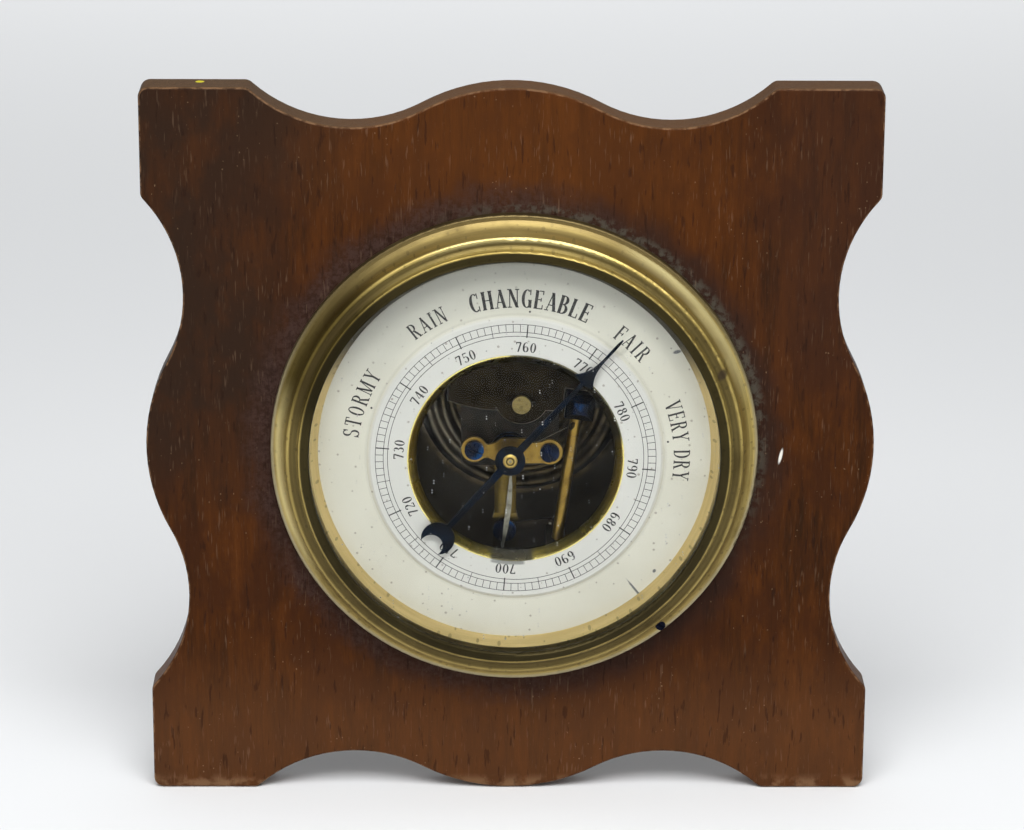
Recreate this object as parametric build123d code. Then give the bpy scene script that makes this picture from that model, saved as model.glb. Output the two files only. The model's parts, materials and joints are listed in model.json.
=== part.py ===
from build123d import *
from math import asin, atan2, cos, degrees, hypot, pi, radians, sin, sqrt
import os

os.makedirs("parts", exist_ok=True)

# Ship's aneroid barometer on a wavy mahogany board, standing on its lower edge and a folding wire stand.
# X runs to the right, Z up, and Y from the front to the back. While the pieces are drawn, Y is 0 on the
# front face of the board; save() then shifts everything so that the whole object is centred on Y.

# ---- driving dimensions, millimetres
BOARD_WIDTH = 187.0
BOARD_HEIGHT = 189.0
BOARD_THICK = 10.0
WAVE_DEPTH = 10.2            # how far each dip cuts into a side of the board
WAVE_DIP = 40.4              # from the middle of a side to the bottom of a dip
DIP_RADIUS = 37.7
BOARD_CORNER = 2.6
BOARD_EDGE = 0.8

CASE_X = 1.0                 # the case sits a little to the right of the board's middle
CASE_Z = BOARD_HEIGHT / 2
DRUM_RADIUS = 55.0
DRUM_WALL = 0.8
DRUM_CLEARANCE = 0.4         # between the drum and the hole in the board
FLANGE_RADIUS = 59.8
FLANGE_THICK = 1.2
CASE_DEPTH = 24.0            # from the board's front to the back of the case
BACK_THICK = 1.2
BEZEL_RADIUS = 62.5
BEZEL_PROUD = 11.1
LIP_RADIUS = 52.4
LIP_BACK = -9.2
GLASS_THICK = 2.0
GLASS_RADIUS = 54.0
GLASS_CLEARANCE = 0.2

DIAL_X = CASE_X + 0.3        # dial and movement hang a little below the axis of the case
DIAL_Z = CASE_Z - 1.6
DIAL_FRONT = -3.6
DIAL_STEP = 0.8              # how far the disc round the opening stands proud
DIAL_THICK = 1.0
DIAL_RADIUS = 52.2
DIAL_OPENING = 27.8
STEP_OUTER = 38.2            # the step slopes between these two radii
STEP_INNER = 37.2

HUB_X = DIAL_X - 1.4         # the pointer's arbor
HUB_Z = DIAL_Z
CAPSULE_X = HUB_X + 2.9
CAPSULE_Z = HUB_Z + 13.0
CAPSULE_RADIUS = 28.0
CAPSULE_JOINT = 13.6         # depth of the joint between the two diaphragms
BASE_FRONT = 21.3
BASE_THICK = 1.5
BASE_BACK = BASE_FRONT + BASE_THICK
BASE_RADIUS = 53.5

BRIDGE_FRONT = -0.6
BRIDGE_THICK = 1.0
SPRING_FRONT = 2.4
SPRING_THICK = 1.0
SPRING_BACK = SPRING_FRONT + SPRING_THICK
FRAME_FRONT = 4.2
FRAME_THICK = 1.0
FRAME_BACK = FRAME_FRONT + FRAME_THICK
LEVER_FRONT = 7.0
LEVER_THICK = 1.4
LEVER_BACK = LEVER_FRONT + LEVER_THICK
HINGE_Z = HUB_Z + 28.0       # the line about which spring and lever bend
ROCKER_Y = 3.8
POINTER_FRONT = -6.3
POINTER_THICK = 0.5
POINTER_ANGLE = 41.4         # clockwise from the top of the dial

STAND_PIVOT_Y = BOARD_THICK + 5.0
STAND_PIVOT_Z = 80.0
STAND_REACH = 90.0           # from the pivot to the middle of the cross wire
STAND_HALF_WIDTH = 60.0
STAND_WIRE = 1.5             # radius

FIT = 0.03                   # radial clearance of pins and screws in their holes
RUNNING = 0.05               # radial clearance of turning pins
PRESSED = 0.01               # radial gap of pieces pushed on to the arbor
PAST = 1.0                   # how far a cutting shape runs past the surfaces that it opens
STAND_DROP = STAND_PIVOT_Z - STAND_WIRE
STAND_FOOT_Y = STAND_PIVOT_Y + sqrt(STAND_REACH ** 2 - STAND_DROP ** 2)
MIDDLE_Y = (STAND_FOOT_Y + STAND_WIRE - BEZEL_PROUD) / 2


# ---- helpers
def save(name, shape):
    export_step(Pos(0, -MIDDLE_Y, 0) * shape, f"parts/{name}.step")


def plate(outline, front, back):
    """An outline drawn in X and Z, given thickness along Y."""
    return extrude(Plane.XZ.offset(-front) * outline, amount=front - back)


def disc(x, z, radius, front, back):
    return plate(Pos(x, z) * Circle(radius), front, back)


def hole(x, z, radius, front, back):
    """A disc to cut with, which runs past both surfaces."""
    return disc(x, z, radius, front - PAST, back + PAST)


def ring(x, z, outer, inner, front, back):
    return plate(Pos(x, z) * (Circle(outer) - Circle(inner)), front, back)


def turned(x, z, *pieces):
    """A lathe-turned piece about a Y axis, from edges given as (radius, depth)."""
    edges = list(pieces)
    edges.append(Line(edges[-1] @ 1, edges[0] @ 0))
    return Pos(x, 0, z) * revolve(make_face(edges), Axis.Y)


def path(*points):
    """The straight edges through a list of points."""
    return [Line(a, b) for a, b in zip(points, points[1:])]


def on_circle(x, z, radius, clockwise):
    """A point at an angle measured clockwise from the top, as seen from the front."""
    angle = radians(clockwise)
    return x + radius * sin(angle), z + radius * cos(angle)


def screw(x, z, seat, head_radius, head_height, shank_radius, length, turn, facing=-1):
    """A slotted screw. Its head is towards the front when facing is -1, and the back when it is 1."""
    face = seat + facing * head_height
    head = disc(x, z, head_radius, min(seat, face), max(seat, face))
    end = seat - facing * length
    shank = disc(x, z, shank_radius, min(seat, end), max(seat, end))
    slot_width = 0.3 * head_radius
    slot = Pos(x, face, z) * Rot(0, turn, 0) * Box(3 * head_radius, head_height, slot_width)
    return head + shank - slot


# ---- board
def wavy_side(half_height, half_width, turn):
    """One side of the board, drawn along its top and turned into place."""
    lobe_radius = (WAVE_DIP ** 2 + WAVE_DEPTH ** 2) / (2 * WAVE_DEPTH) - DIP_RADIUS
    slope = asin(WAVE_DIP / (lobe_radius + DIP_RADIUS))
    bend_x = lobe_radius * sin(slope)
    bend_z = half_height - lobe_radius * (1 - cos(slope))
    block_x = WAVE_DIP + sqrt(DIP_RADIUS ** 2 - (DIP_RADIUS - WAVE_DEPTH) ** 2)
    dip_z = half_height - WAVE_DEPTH
    edges = [
        Line((-half_width, half_height), (-block_x, half_height)),
        ThreePointArc((-block_x, half_height), (-WAVE_DIP, dip_z), (-bend_x, bend_z)),
        ThreePointArc((-bend_x, bend_z), (0, half_height), (bend_x, bend_z)),
        ThreePointArc((bend_x, bend_z), (WAVE_DIP, dip_z), (block_x, half_height)),
        Line((block_x, half_height), (half_width, half_height)),
    ]
    return [Rot(0, 0, turn) * edge for edge in edges]


def make_board():
    half_w, half_h = BOARD_WIDTH / 2, BOARD_HEIGHT / 2
    edges = wavy_side(half_h, half_w, 0) + wavy_side(half_w, half_h, -90)
    edges += wavy_side(half_h, half_w, 180) + wavy_side(half_w, half_h, 90)
    board = plate(Pos(0, half_h) * make_face(edges), 0, BOARD_THICK)
    board = fillet(board.edges().filter_by(Axis.Y), BOARD_CORNER)
    rims = board.faces().sort_by(Axis.Y)
    board = fillet(rims[0].edges() + rims[-1].edges(), BOARD_EDGE)
    board -= hole(CASE_X, CASE_Z, DRUM_RADIUS + DRUM_CLEARANCE, 0, BOARD_THICK)
    for x, z in flange_screw_places():
        board -= disc(x, z, FLANGE_SCREW_RADIUS + FIT, -PAST, FLANGE_SCREW_LENGTH)
    for x, z in lug_screw_places():
        board -= disc(x, z, LUG_SCREW_RADIUS + FIT, BOARD_THICK - LUG_SCREW_LENGTH, BOARD_THICK + PAST)
    return board - disc(*LOCK_SCREW_PLACE, LOCK_SCREW_RADIUS + FIT, -PAST, LOCK_SCREW_LENGTH)


# ---- case: bezel, glass, drum and reflector ring
FLANGE_SCREW_RADIUS = 1.0
FLANGE_SCREW_HEAD = 1.9
FLANGE_SCREW_SINK = 0.9
FLANGE_SCREW_LENGTH = 7.5
FLANGE_SCREW_POINT = 1.5
FLANGE_SCREW_CIRCLE = 57.5
FLANGE_SCREW_ANGLES = (20, 200, 290)
LOCK_SCREW_RADIUS = 0.7
LOCK_SCREW_HEAD = 1.3
LOCK_SCREW_HEIGHT = 0.9
LOCK_SCREW_LENGTH = 5.0
LOCK_SCREW_SEAT = -2.2
LOCK_SCREW_PLACE = on_circle(CASE_X, CASE_Z, 61.0, 141.3)
BACK_SCREW_RADIUS = 1.2
BACK_SCREW_HEAD = 2.3
BACK_SCREW_HEIGHT = 1.3
BACK_SCREW_CIRCLE = 40.0
BACK_SCREW_ANGLES = (70, 180, 290)
ADJUSTER_HEAD = 3.9
ADJUSTER_HEIGHT = 1.8
ADJUSTER_STEM = 2.5
ADJUSTER_LENGTH = 3.4
ADJUSTER_HOLE = ADJUSTER_HEAD + 0.4


def flange_screw_places():
    return [on_circle(CASE_X, CASE_Z, FLANGE_SCREW_CIRCLE, angle) for angle in FLANGE_SCREW_ANGLES]


def back_screw_places():
    return [on_circle(CASE_X, CASE_Z, BACK_SCREW_CIRCLE, angle) for angle in BACK_SCREW_ANGLES]


def make_bezel():
    """Skirt, ledge, hollow cove, round bead, groove, and the lip that holds the glass."""
    skirt_top = (BEZEL_RADIUS, -2.3)
    ledge_outer, ledge_inner = (62.0, -2.8), (61.2, -2.8)
    cove_top = (58.5, -8.2)
    bead_inner = (57.3, -8.9)
    groove_top = (55.3, -10.2)
    lip_outer = (54.7, -10.75)
    lip_crest = (53.1, -BEZEL_PROUD)
    lip_inner = (LIP_RADIUS, -10.4)
    seat_radius = GLASS_RADIUS + GLASS_CLEARANCE
    hollow_radius = FLANGE_RADIUS + GLASS_CLEARANCE + 0.2
    hollow_front = -FLANGE_THICK - GLASS_CLEARANCE
    bezel = turned(
        CASE_X, CASE_Z,
        *path((hollow_radius, 0), (BEZEL_RADIUS, 0), skirt_top),
        ThreePointArc(skirt_top, (62.35, -2.65), ledge_outer),
        Line(ledge_outer, ledge_inner),
        ThreePointArc(ledge_inner, (59.15, -5.1), cove_top),
        ThreePointArc(cove_top, (58.05, -8.95), bead_inner),
        ThreePointArc(bead_inner, (56.1, -9.15), groove_top),
        ThreePointArc(groove_top, (55.1, -10.6), lip_outer),
        Line(lip_outer, lip_crest),
        ThreePointArc(lip_crest, (52.6, -10.9), lip_inner),
        *path(lip_inner, (LIP_RADIUS, LIP_BACK), (seat_radius, LIP_BACK),
              (seat_radius, hollow_front), (hollow_radius, hollow_front)))
    bezel -= disc(*LOCK_SCREW_PLACE, LOCK_SCREW_RADIUS + FIT, -BEZEL_PROUD, PAST)
    return bezel - disc(*LOCK_SCREW_PLACE, LOCK_SCREW_HEAD + FIT, -BEZEL_PROUD, LOCK_SCREW_SEAT)


def make_lock_screw():
    return screw(*LOCK_SCREW_PLACE, LOCK_SCREW_SEAT, LOCK_SCREW_HEAD, LOCK_SCREW_HEIGHT, LOCK_SCREW_RADIUS,
                 LOCK_SCREW_LENGTH, turn=35)


def make_reflector_ring():
    """The bright bevel between the glass and the dial."""
    glass_back = LIP_BACK + GLASS_THICK
    top_radius, foot_radius, foot_edge = 52.1, 50.3, 0.1
    return turned(CASE_X, CASE_Z, *path(
        (GLASS_RADIUS, DIAL_FRONT), (GLASS_RADIUS, glass_back), (top_radius, glass_back),
        (foot_radius, DIAL_FRONT - foot_edge), (foot_radius, DIAL_FRONT)))


def make_case_drum():
    inner = DRUM_RADIUS - DRUM_WALL
    corner = 1.0
    bend = corner * (1 - cos(pi / 4))
    drum = turned(
        CASE_X, CASE_Z,
        *path((0, CASE_DEPTH - BACK_THICK), (inner, CASE_DEPTH - BACK_THICK), (inner, -FLANGE_THICK),
              (FLANGE_RADIUS, -FLANGE_THICK), (FLANGE_RADIUS, 0), (DRUM_RADIUS, 0),
              (DRUM_RADIUS, CASE_DEPTH - corner)),
        ThreePointArc((DRUM_RADIUS, CASE_DEPTH - corner), (DRUM_RADIUS - bend, CASE_DEPTH - bend),
                      (DRUM_RADIUS - corner, CASE_DEPTH)),
        Line((DRUM_RADIUS - corner, CASE_DEPTH), (0, CASE_DEPTH)))
    for x, z in flange_screw_places():
        drum -= countersunk(x, z, FIT)
    for x, z in back_screw_places():
        drum -= disc(x, z, BACK_SCREW_RADIUS + FIT, BASE_FRONT, CASE_DEPTH + PAST)
    return drum - disc(CAPSULE_X, CAPSULE_Z, ADJUSTER_HOLE, BASE_FRONT, CASE_DEPTH + PAST)


def countersunk(x, z, spare=0.0):
    """A wood screw's flush head and shank, or with some spare, the hole it goes through."""
    front = -FLANGE_THICK
    shank = FLANGE_SCREW_RADIUS + spare
    return turned(x, z, *path(
        (0, front), (FLANGE_SCREW_HEAD + spare, front), (shank, front + FLANGE_SCREW_SINK),
        (shank, FLANGE_SCREW_LENGTH - FLANGE_SCREW_POINT), (0, FLANGE_SCREW_LENGTH)))


def make_flange_screws():
    slot_depth, slot_width = 0.7, 0.5
    slot = Rot(0, 25, 0) * Box(3 * FLANGE_SCREW_HEAD, slot_depth, slot_width)
    return Compound([countersunk(x, z) - Pos(x, -FLANGE_THICK, z) * slot for x, z in flange_screw_places()])


def make_back_screws():
    length = CASE_DEPTH - BASE_FRONT
    return Compound([screw(x, z, CASE_DEPTH, BACK_SCREW_HEAD, BACK_SCREW_HEIGHT, BACK_SCREW_RADIUS, length,
                           turn=20 * i, facing=1)
                     for i, (x, z) in enumerate(back_screw_places())])


# ---- dial
RAISED_FRONT = DIAL_FRONT - DIAL_STEP
RAISED_BACK = RAISED_FRONT + DIAL_THICK
DIAL_BACK = DIAL_FRONT + DIAL_THICK
PILLAR_CIRCLE = 45.0
PILLAR_RADIUS = 2.2
PILLAR_ANGLES = (0, 120, 240)


def make_dial():
    """A thin disc, pressed forward inside the step and open in the middle."""
    tuck = 0.2
    return turned(DIAL_X, DIAL_Z, *path(
        (DIAL_OPENING, RAISED_FRONT), (STEP_INNER, RAISED_FRONT), (STEP_OUTER, DIAL_FRONT),
        (DIAL_RADIUS, DIAL_FRONT), (DIAL_RADIUS, DIAL_BACK), (STEP_OUTER - tuck, DIAL_BACK),
        (STEP_INNER - tuck, RAISED_BACK), (DIAL_OPENING, RAISED_BACK)))


def make_sight_ring():
    """The bevelled brass ring that lines the opening and is held behind the dial."""
    outer = DIAL_OPENING - FIT
    rim_front, rim_width = RAISED_FRONT - 0.15, 0.3
    inner, inner_front, ring_back = 25.4, -2.4, -2.0
    hidden = 30.0
    return turned(DIAL_X, DIAL_Z, *path(
        (outer, RAISED_BACK), (outer, rim_front), (outer - rim_width, rim_front), (inner, inner_front),
        (inner, ring_back), (hidden, ring_back), (hidden, RAISED_BACK)))


def make_dial_pillars():
    places = [on_circle(DIAL_X, DIAL_Z, PILLAR_CIRCLE, angle) for angle in PILLAR_ANGLES]
    return Compound([disc(x, z, PILLAR_RADIUS, DIAL_BACK, BASE_FRONT) for x, z in places])


# ---- base plate and the frame over the capsule
FRAME_BAR = (78.0, 12.0)
FRAME_BAR_THICK = 2.0
FRAME_TONGUE = (25.2, 29.0)
FRAME_EAR = (12.0, 12.0)
FRAME_FOOT_RADIUS = 3.5
FRAME_FEET = [(HUB_X - 31.0, HUB_Z + 27.0), (HUB_X + 36.8, HUB_Z + 27.0)]
FRAME_SCREW_RADIUS = 1.3
FRAME_SCREW_HEAD = 2.5
FRAME_SCREW_SINK = 0.7
FRAME_SCREW_LENGTH = 6.0
COLLAR_HOLE = 4.2
ARBOR_RADIUS = 0.45
PILLAR_SPOTS = [(HUB_X - 9.2, HUB_Z + 1.3), (HUB_X + 10.2, HUB_Z + 0.6)]


def make_base_plate():
    base = disc(CASE_X, CASE_Z, BASE_RADIUS, BASE_FRONT, BASE_BACK)
    for x, z in back_screw_places():
        base -= hole(x, z, BACK_SCREW_RADIUS + FIT, BASE_FRONT, BASE_BACK)
    for x, z in FRAME_FEET:
        base -= hole(x, z, FRAME_SCREW_RADIUS + FIT, BASE_FRONT, BASE_BACK)
        base -= disc(x, z, FRAME_SCREW_HEAD + FIT, BASE_BACK - FRAME_SCREW_SINK, BASE_BACK + PAST)
    return base - hole(CAPSULE_X, CAPSULE_Z, ADJUSTER_STEM + RUNNING, BASE_FRONT, BASE_BACK)


def make_spring_bridge():
    """The dark cast frame: a bar on two feet, with a tongue that carries the pivots."""
    bar = Pos(HUB_X + 2.9, HUB_Z + 27) * RectangleRounded(*FRAME_BAR, 5)
    tongue = Pos(HUB_X, HUB_Z + 10) * RectangleRounded(*FRAME_TONGUE, 3)
    ear = Pos(HUB_X + 18.5, HUB_Z + 17) * RectangleRounded(*FRAME_EAR, 2)
    holes = Pos(CAPSULE_X, CAPSULE_Z) * Circle(COLLAR_HOLE)
    holes += Pos(HUB_X, HUB_Z) * Circle(ARBOR_RADIUS + RUNNING)
    frame = plate(bar + tongue + ear - holes, FRAME_FRONT, FRAME_BACK)
    bar_back = FRAME_FRONT + FRAME_BAR_THICK
    frame += plate(bar, FRAME_FRONT, bar_back)
    for x, z in FRAME_FEET:
        frame += disc(x, z, FRAME_FOOT_RADIUS, FRAME_FRONT, BASE_FRONT)
        frame -= disc(x, z, FRAME_SCREW_RADIUS + FIT, BASE_FRONT - FRAME_SCREW_LENGTH, BASE_FRONT + PAST)
    for x, z in clamp_screw_places():
        frame -= hole(x, z, CLAMP_SCREW_RADIUS + FIT, FRAME_FRONT, bar_back)
    for x, z in PILLAR_SPOTS:
        frame -= hole(x, z, BRIDGE_SCREW_RADIUS + FIT, FRAME_FRONT, FRAME_BACK)
    return frame


def make_frame_screws():
    return Compound([screw(x, z, BASE_BACK - FRAME_SCREW_SINK, FRAME_SCREW_HEAD, FRAME_SCREW_SINK,
                           FRAME_SCREW_RADIUS, FRAME_SCREW_LENGTH, turn=30, facing=1)
                     for x, z in FRAME_FEET])


# ---- aneroid capsule
WAVES = 5                    # round corrugations in each diaphragm
WAVE_WIDTH = 4.0
WAVE_HEIGHT = 0.5
WAVE_START = 5.4
WAVE_LEVEL = 3.2             # how far the corrugated part stands from the joint
DIAPHRAGM_THICK = 0.7
DIAPHRAGM_SEAM = 1.1
BOSS_RADIUS = 4.8
BOSS_HEIGHT = 0.6
BOSS_FRONT = CAPSULE_JOINT - WAVE_LEVEL - BOSS_HEIGHT
STUD_RADIUS = 4.5
STUD_HOLE_DEPTH = 2.2
POST_RADIUS = 1.5
POST_FRONT = 0.1
POST_HEAD = (2.4, 1.2)       # radius and thickness
POST_FOOT = (3.4, 0.6)
KNIFE_Y = 1.8
KNIFE_RADIUS = 0.4
KNIFE_LENGTH = 7.4


def diaphragm_edges(shift):
    """Half of the front diaphragm's section, moved back by shift."""
    flat = CAPSULE_JOINT - WAVE_LEVEL + shift
    rim = CAPSULE_JOINT - DIAPHRAGM_THICK + shift
    start = WAVE_START + WAVES * WAVE_WIDTH
    edges = path((CAPSULE_RADIUS, rim), (CAPSULE_RADIUS - DIAPHRAGM_SEAM, rim), (start, flat))
    for i in range(2 * WAVES):
        outer = start - i * WAVE_WIDTH / 2
        inner = outer - WAVE_WIDTH / 2
        bulge = WAVE_HEIGHT if i % 2 else -WAVE_HEIGHT
        edges.append(ThreePointArc((outer, flat), ((outer + inner) / 2, flat + bulge), (inner, flat)))
    return edges + path((WAVE_START, flat), (BOSS_RADIUS, flat - BOSS_HEIGHT), (0, flat - BOSS_HEIGHT))


def make_diaphragm():
    front = diaphragm_edges(0)
    back = diaphragm_edges(DIAPHRAGM_THICK)
    ends = [Line(front[0] @ 0, back[0] @ 0), Line(front[-1] @ 1, back[-1] @ 1)]
    return Pos(CAPSULE_X, 0, CAPSULE_Z) * revolve(make_face(front + back + ends), Axis.Y)


def make_capsule_stud():
    """Carries the back of the capsule on the base plate."""
    stud = disc(CAPSULE_X, CAPSULE_Z, STUD_RADIUS, 2 * CAPSULE_JOINT - BOSS_FRONT, BASE_FRONT)
    return stud - disc(CAPSULE_X, CAPSULE_Z, ADJUSTER_STEM + RUNNING, BASE_FRONT - STUD_HOLE_DEPTH,
                       BASE_FRONT + PAST)


def make_adjusting_screw():
    """Turned from behind, through the hole in the case, to set the pointer."""
    return screw(CAPSULE_X, CAPSULE_Z, BASE_BACK + RUNNING, ADJUSTER_HEAD, ADJUSTER_HEIGHT, ADJUSTER_STEM,
                 ADJUSTER_LENGTH, turn=10, facing=1)


def make_capsule_post():
    head_radius, head_thick = POST_HEAD
    foot_radius, foot_thick = POST_FOOT
    post = disc(CAPSULE_X, CAPSULE_Z, foot_radius, BOSS_FRONT - foot_thick, BOSS_FRONT)
    post += disc(CAPSULE_X, CAPSULE_Z, POST_RADIUS, POST_FRONT, BOSS_FRONT)
    post += disc(CAPSULE_X, CAPSULE_Z, head_radius, POST_FRONT, POST_FRONT + head_thick)
    return post - knife_pin(FIT)


def knife_pin(spare=0.0):
    centre = Pos(CAPSULE_X, KNIFE_Y, CAPSULE_Z)
    return centre * Rot(0, 90, 0) * Cylinder(KNIFE_RADIUS + spare, KNIFE_LENGTH)


# ---- main spring, lever and link: these swing about the spring's root
CLAMP_SCREW_RADIUS = 1.2
CLAMP_SCREW_HEAD = 1.9
CLAMP_SCREW_HEIGHT = 0.9
CLAMP_SCREW_LENGTH = 4.6
CLAMP_SCREW_SPREAD = 11.0
CLAMP_Z = HINGE_Z + 2.0
CLAMP_SIZE = (34.0, 4.0)
CLAMP_FRONT = SPRING_FRONT - 1.2
SPRING_HALF_WIDTH = 19.0
SPRING_EDGE = 0.2            # bevel along the spring's front edges
POST_GAP = 0.5               # between the capsule's post and the spring, collar and lever round it
COLLAR_RADIUS = 3.2
LEVER_X = HUB_X - 1.1
LEVER_HALF_WIDTH = 2.8
LEVER_HEAD_RADIUS = 3.6
LEVER_HEAD_NECK = 2.7
LEVER_FOOT_HALF = 3.3
LEVER_TOP = HUB_Z + 4.0
LEVER_KNEE = HUB_Z - 18.0
REGULATOR = (HUB_X - 1.3, HUB_Z - 22.9)
REGULATOR_SHANK = 1.1
REGULATOR_HEAD = 3.0
REGULATOR_HEIGHT = 1.1
REGULATOR_LENGTH = 2.1
BLADE_FOOT = (HUB_X - 1.8, HUB_Z - 26.9)
BLADE_TOP = (HUB_X + 0.3, HUB_Z - 7.4)
BLADE_PIN = 0.4
BLADE_THICK = 0.4
BLADE_GAP = 0.3              # between the blade and the regulating screw behind it
ROCKER_TOP = (HUB_X + 16.9, HUB_Z + 8.5)
ROCKER_FOOT = (HUB_X + 12.4, HUB_Z - 24.3)
ROCKER_TILT = degrees(atan2(ROCKER_TOP[0] - ROCKER_FOOT[0], ROCKER_TOP[1] - ROCKER_FOOT[1]))
ROCKER_RADIUS = 1.5
ROCKER_REST = 18.0           # how far the arms stand away from square, in degrees
CHAIN_ARM_Z = HUB_Z + 7.0
CHAIN_ARM_LENGTH = 4.3
CHAIN_ARM_SIZE = (0.8, 1.2)
LINK_ARM_LENGTH = 2.5
LINK_ARM_SIZE = (0.7, 1.2)
LINK_ARM_THICK = 0.7
LINK_WIRE = 0.3
LINK_FRONT = 4.2
BLOCK_WIDTH = 7.4
BLOCK_HEIGHT = 6.9
BLOCK_BEVEL = 1.9
BLOCK_SPACE = 0.7            # left round the block where the main spring is notched


def rocker_x(z):
    share = (z - ROCKER_FOOT[1]) / (ROCKER_TOP[1] - ROCKER_FOOT[1])
    return ROCKER_FOOT[0] + share * (ROCKER_TOP[0] - ROCKER_FOOT[0])


LINK_Z = HUB_Z - 20.5
LINK = (rocker_x(LINK_Z) - LINK_ARM_LENGTH * cos(radians(ROCKER_REST)), LINK_Z)


def on_rocker(z):
    """A frame on the shaft's axis at a height, with its Z along the shaft."""
    return Pos(rocker_x(z), ROCKER_Y, z) * Rot(0, ROCKER_TILT, 0)


def rocker_block_place():
    return on_rocker(ROCKER_TOP[1] + 0.2 + BLOCK_HEIGHT / 2) * Pos(0.6, 0, 0)


def clamp_screw_places():
    return [(CAPSULE_X + side * CLAMP_SCREW_SPREAD, CLAMP_Z) for side in (-1, 1)]


def make_main_spring():
    """A wide leaf with a wavy lower edge, and a lobe in the middle round the capsule's post."""
    low, root = HUB_Z + 11.1, HINGE_Z - 0.4
    left, right = CAPSULE_X - SPRING_HALF_WIDTH, CAPSULE_X + SPRING_HALF_WIDTH
    left_foot = (left, low + 2.4)
    lobe_right, lobe_left = (CAPSULE_X + 6.2, low - 0.4), (CAPSULE_X - 6.2, low - 0.2)
    lobe_bottom = (CAPSULE_X, low - 3.9)
    edge = [
        *path(left_foot, (left, root), (right, root), (right, low - 0.4), lobe_right),
        ThreePointArc(lobe_right, lobe_bottom, lobe_left),
        ThreePointArc(lobe_left, (CAPSULE_X - 13, low + 0.5), left_foot)]
    leaf = plate(make_face(edge), SPRING_FRONT, SPRING_BACK)
    leaf -= rocker_block_place() * Box(BLOCK_WIDTH + 2 * BLOCK_SPACE, 12, BLOCK_HEIGHT + 2 * BLOCK_SPACE)
    front_rim = leaf.faces().sort_by(Axis.Y)[0].outer_wire().edges()
    leaf = chamfer(front_rim, SPRING_EDGE)
    return leaf - hole(CAPSULE_X, CAPSULE_Z, POST_RADIUS + POST_GAP, SPRING_FRONT, SPRING_BACK)


def make_spring_clamp():
    """Holds the root of the main spring on the frame's bar."""
    block = Pos(CAPSULE_X, CLAMP_Z) * RectangleRounded(*CLAMP_SIZE, 1)
    clamp = plate(block, CLAMP_FRONT, FRAME_FRONT)
    for x, z in clamp_screw_places():
        clamp -= hole(x, z, CLAMP_SCREW_RADIUS + FIT, CLAMP_FRONT, FRAME_FRONT)
    return clamp


def make_clamp_screws():
    return Compound([screw(x, z, CLAMP_FRONT, CLAMP_SCREW_HEAD, CLAMP_SCREW_HEIGHT, CLAMP_SCREW_RADIUS,
                           CLAMP_SCREW_LENGTH, turn=15) for x, z in clamp_screw_places()])


def make_lever_collar():
    return ring(CAPSULE_X, CAPSULE_Z, COLLAR_RADIUS, POST_RADIUS + POST_GAP, SPRING_BACK, LEVER_FRONT)


def make_main_lever():
    """A flat bar from the capsule's post down to the regulating screw, wider at its foot."""
    half, foot = LEVER_HALF_WIDTH, LEVER_FOOT_HALF
    shoulder, bottom = LEVER_KNEE - 2, LEVER_KNEE - 10
    blade = make_face(path(
        (CAPSULE_X - LEVER_HEAD_NECK, CAPSULE_Z), (LEVER_X - half, LEVER_TOP), (LEVER_X - half, LEVER_KNEE),
        (LEVER_X - foot, shoulder), (LEVER_X - foot, bottom), (LEVER_X + foot, bottom),
        (LEVER_X + foot, shoulder), (LEVER_X + half, LEVER_KNEE), (LEVER_X + half, LEVER_TOP),
        (CAPSULE_X + LEVER_HEAD_NECK, CAPSULE_Z), (CAPSULE_X - LEVER_HEAD_NECK, CAPSULE_Z)))
    head = Pos(CAPSULE_X, CAPSULE_Z) * Circle(LEVER_HEAD_RADIUS)
    lever = plate(blade + head, LEVER_FRONT, LEVER_BACK)
    lever -= hole(CAPSULE_X, CAPSULE_Z, POST_RADIUS + POST_GAP, LEVER_FRONT, LEVER_BACK)
    lever -= hole(*REGULATOR, REGULATOR_SHANK + FIT, LEVER_FRONT, LEVER_BACK)
    lever -= hole(*BLADE_FOOT, BLADE_PIN + FIT, LEVER_FRONT, LEVER_BACK)
    return lever + lever_swell()


def lever_swell():
    """The rounded front of the lever's lower half."""
    rise, radius = 0.9, 4.8
    high, low = HUB_Z - 6.5, LEVER_KNEE - 0.5
    centre_y = LEVER_FRONT - rise + radius
    bar = Pos(LEVER_X, centre_y, (high + low) / 2) * Cylinder(radius, high - low)
    keep = Pos(LEVER_X, LEVER_FRONT - 1, (high + low) / 2) * Box(2 * LEVER_HALF_WIDTH, 2, high - low)
    return bar & keep


def make_link_arm():
    """A slim steel arm clamped under the regulating screw, reaching across to the rocker."""
    eye = Pos(*REGULATOR) * Circle(2.1)
    bar = make_hull((Pos(*REGULATOR) * Circle(1.5) + Pos(*LINK) * Circle(0.8)).edges())
    holes = Pos(*REGULATOR) * Circle(REGULATOR_SHANK + FIT) + Pos(*LINK) * Circle(LINK_WIRE + FIT)
    return plate(eye + bar - holes, LEVER_FRONT - LINK_ARM_THICK, LEVER_FRONT)


def make_connecting_link():
    return disc(*LINK, LINK_WIRE, LINK_FRONT, LEVER_FRONT)


def make_regulating_screw():
    return screw(*REGULATOR, LEVER_FRONT - LINK_ARM_THICK, REGULATOR_HEAD, REGULATOR_HEIGHT, REGULATOR_SHANK,
                 REGULATOR_LENGTH, turn=80)


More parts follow.
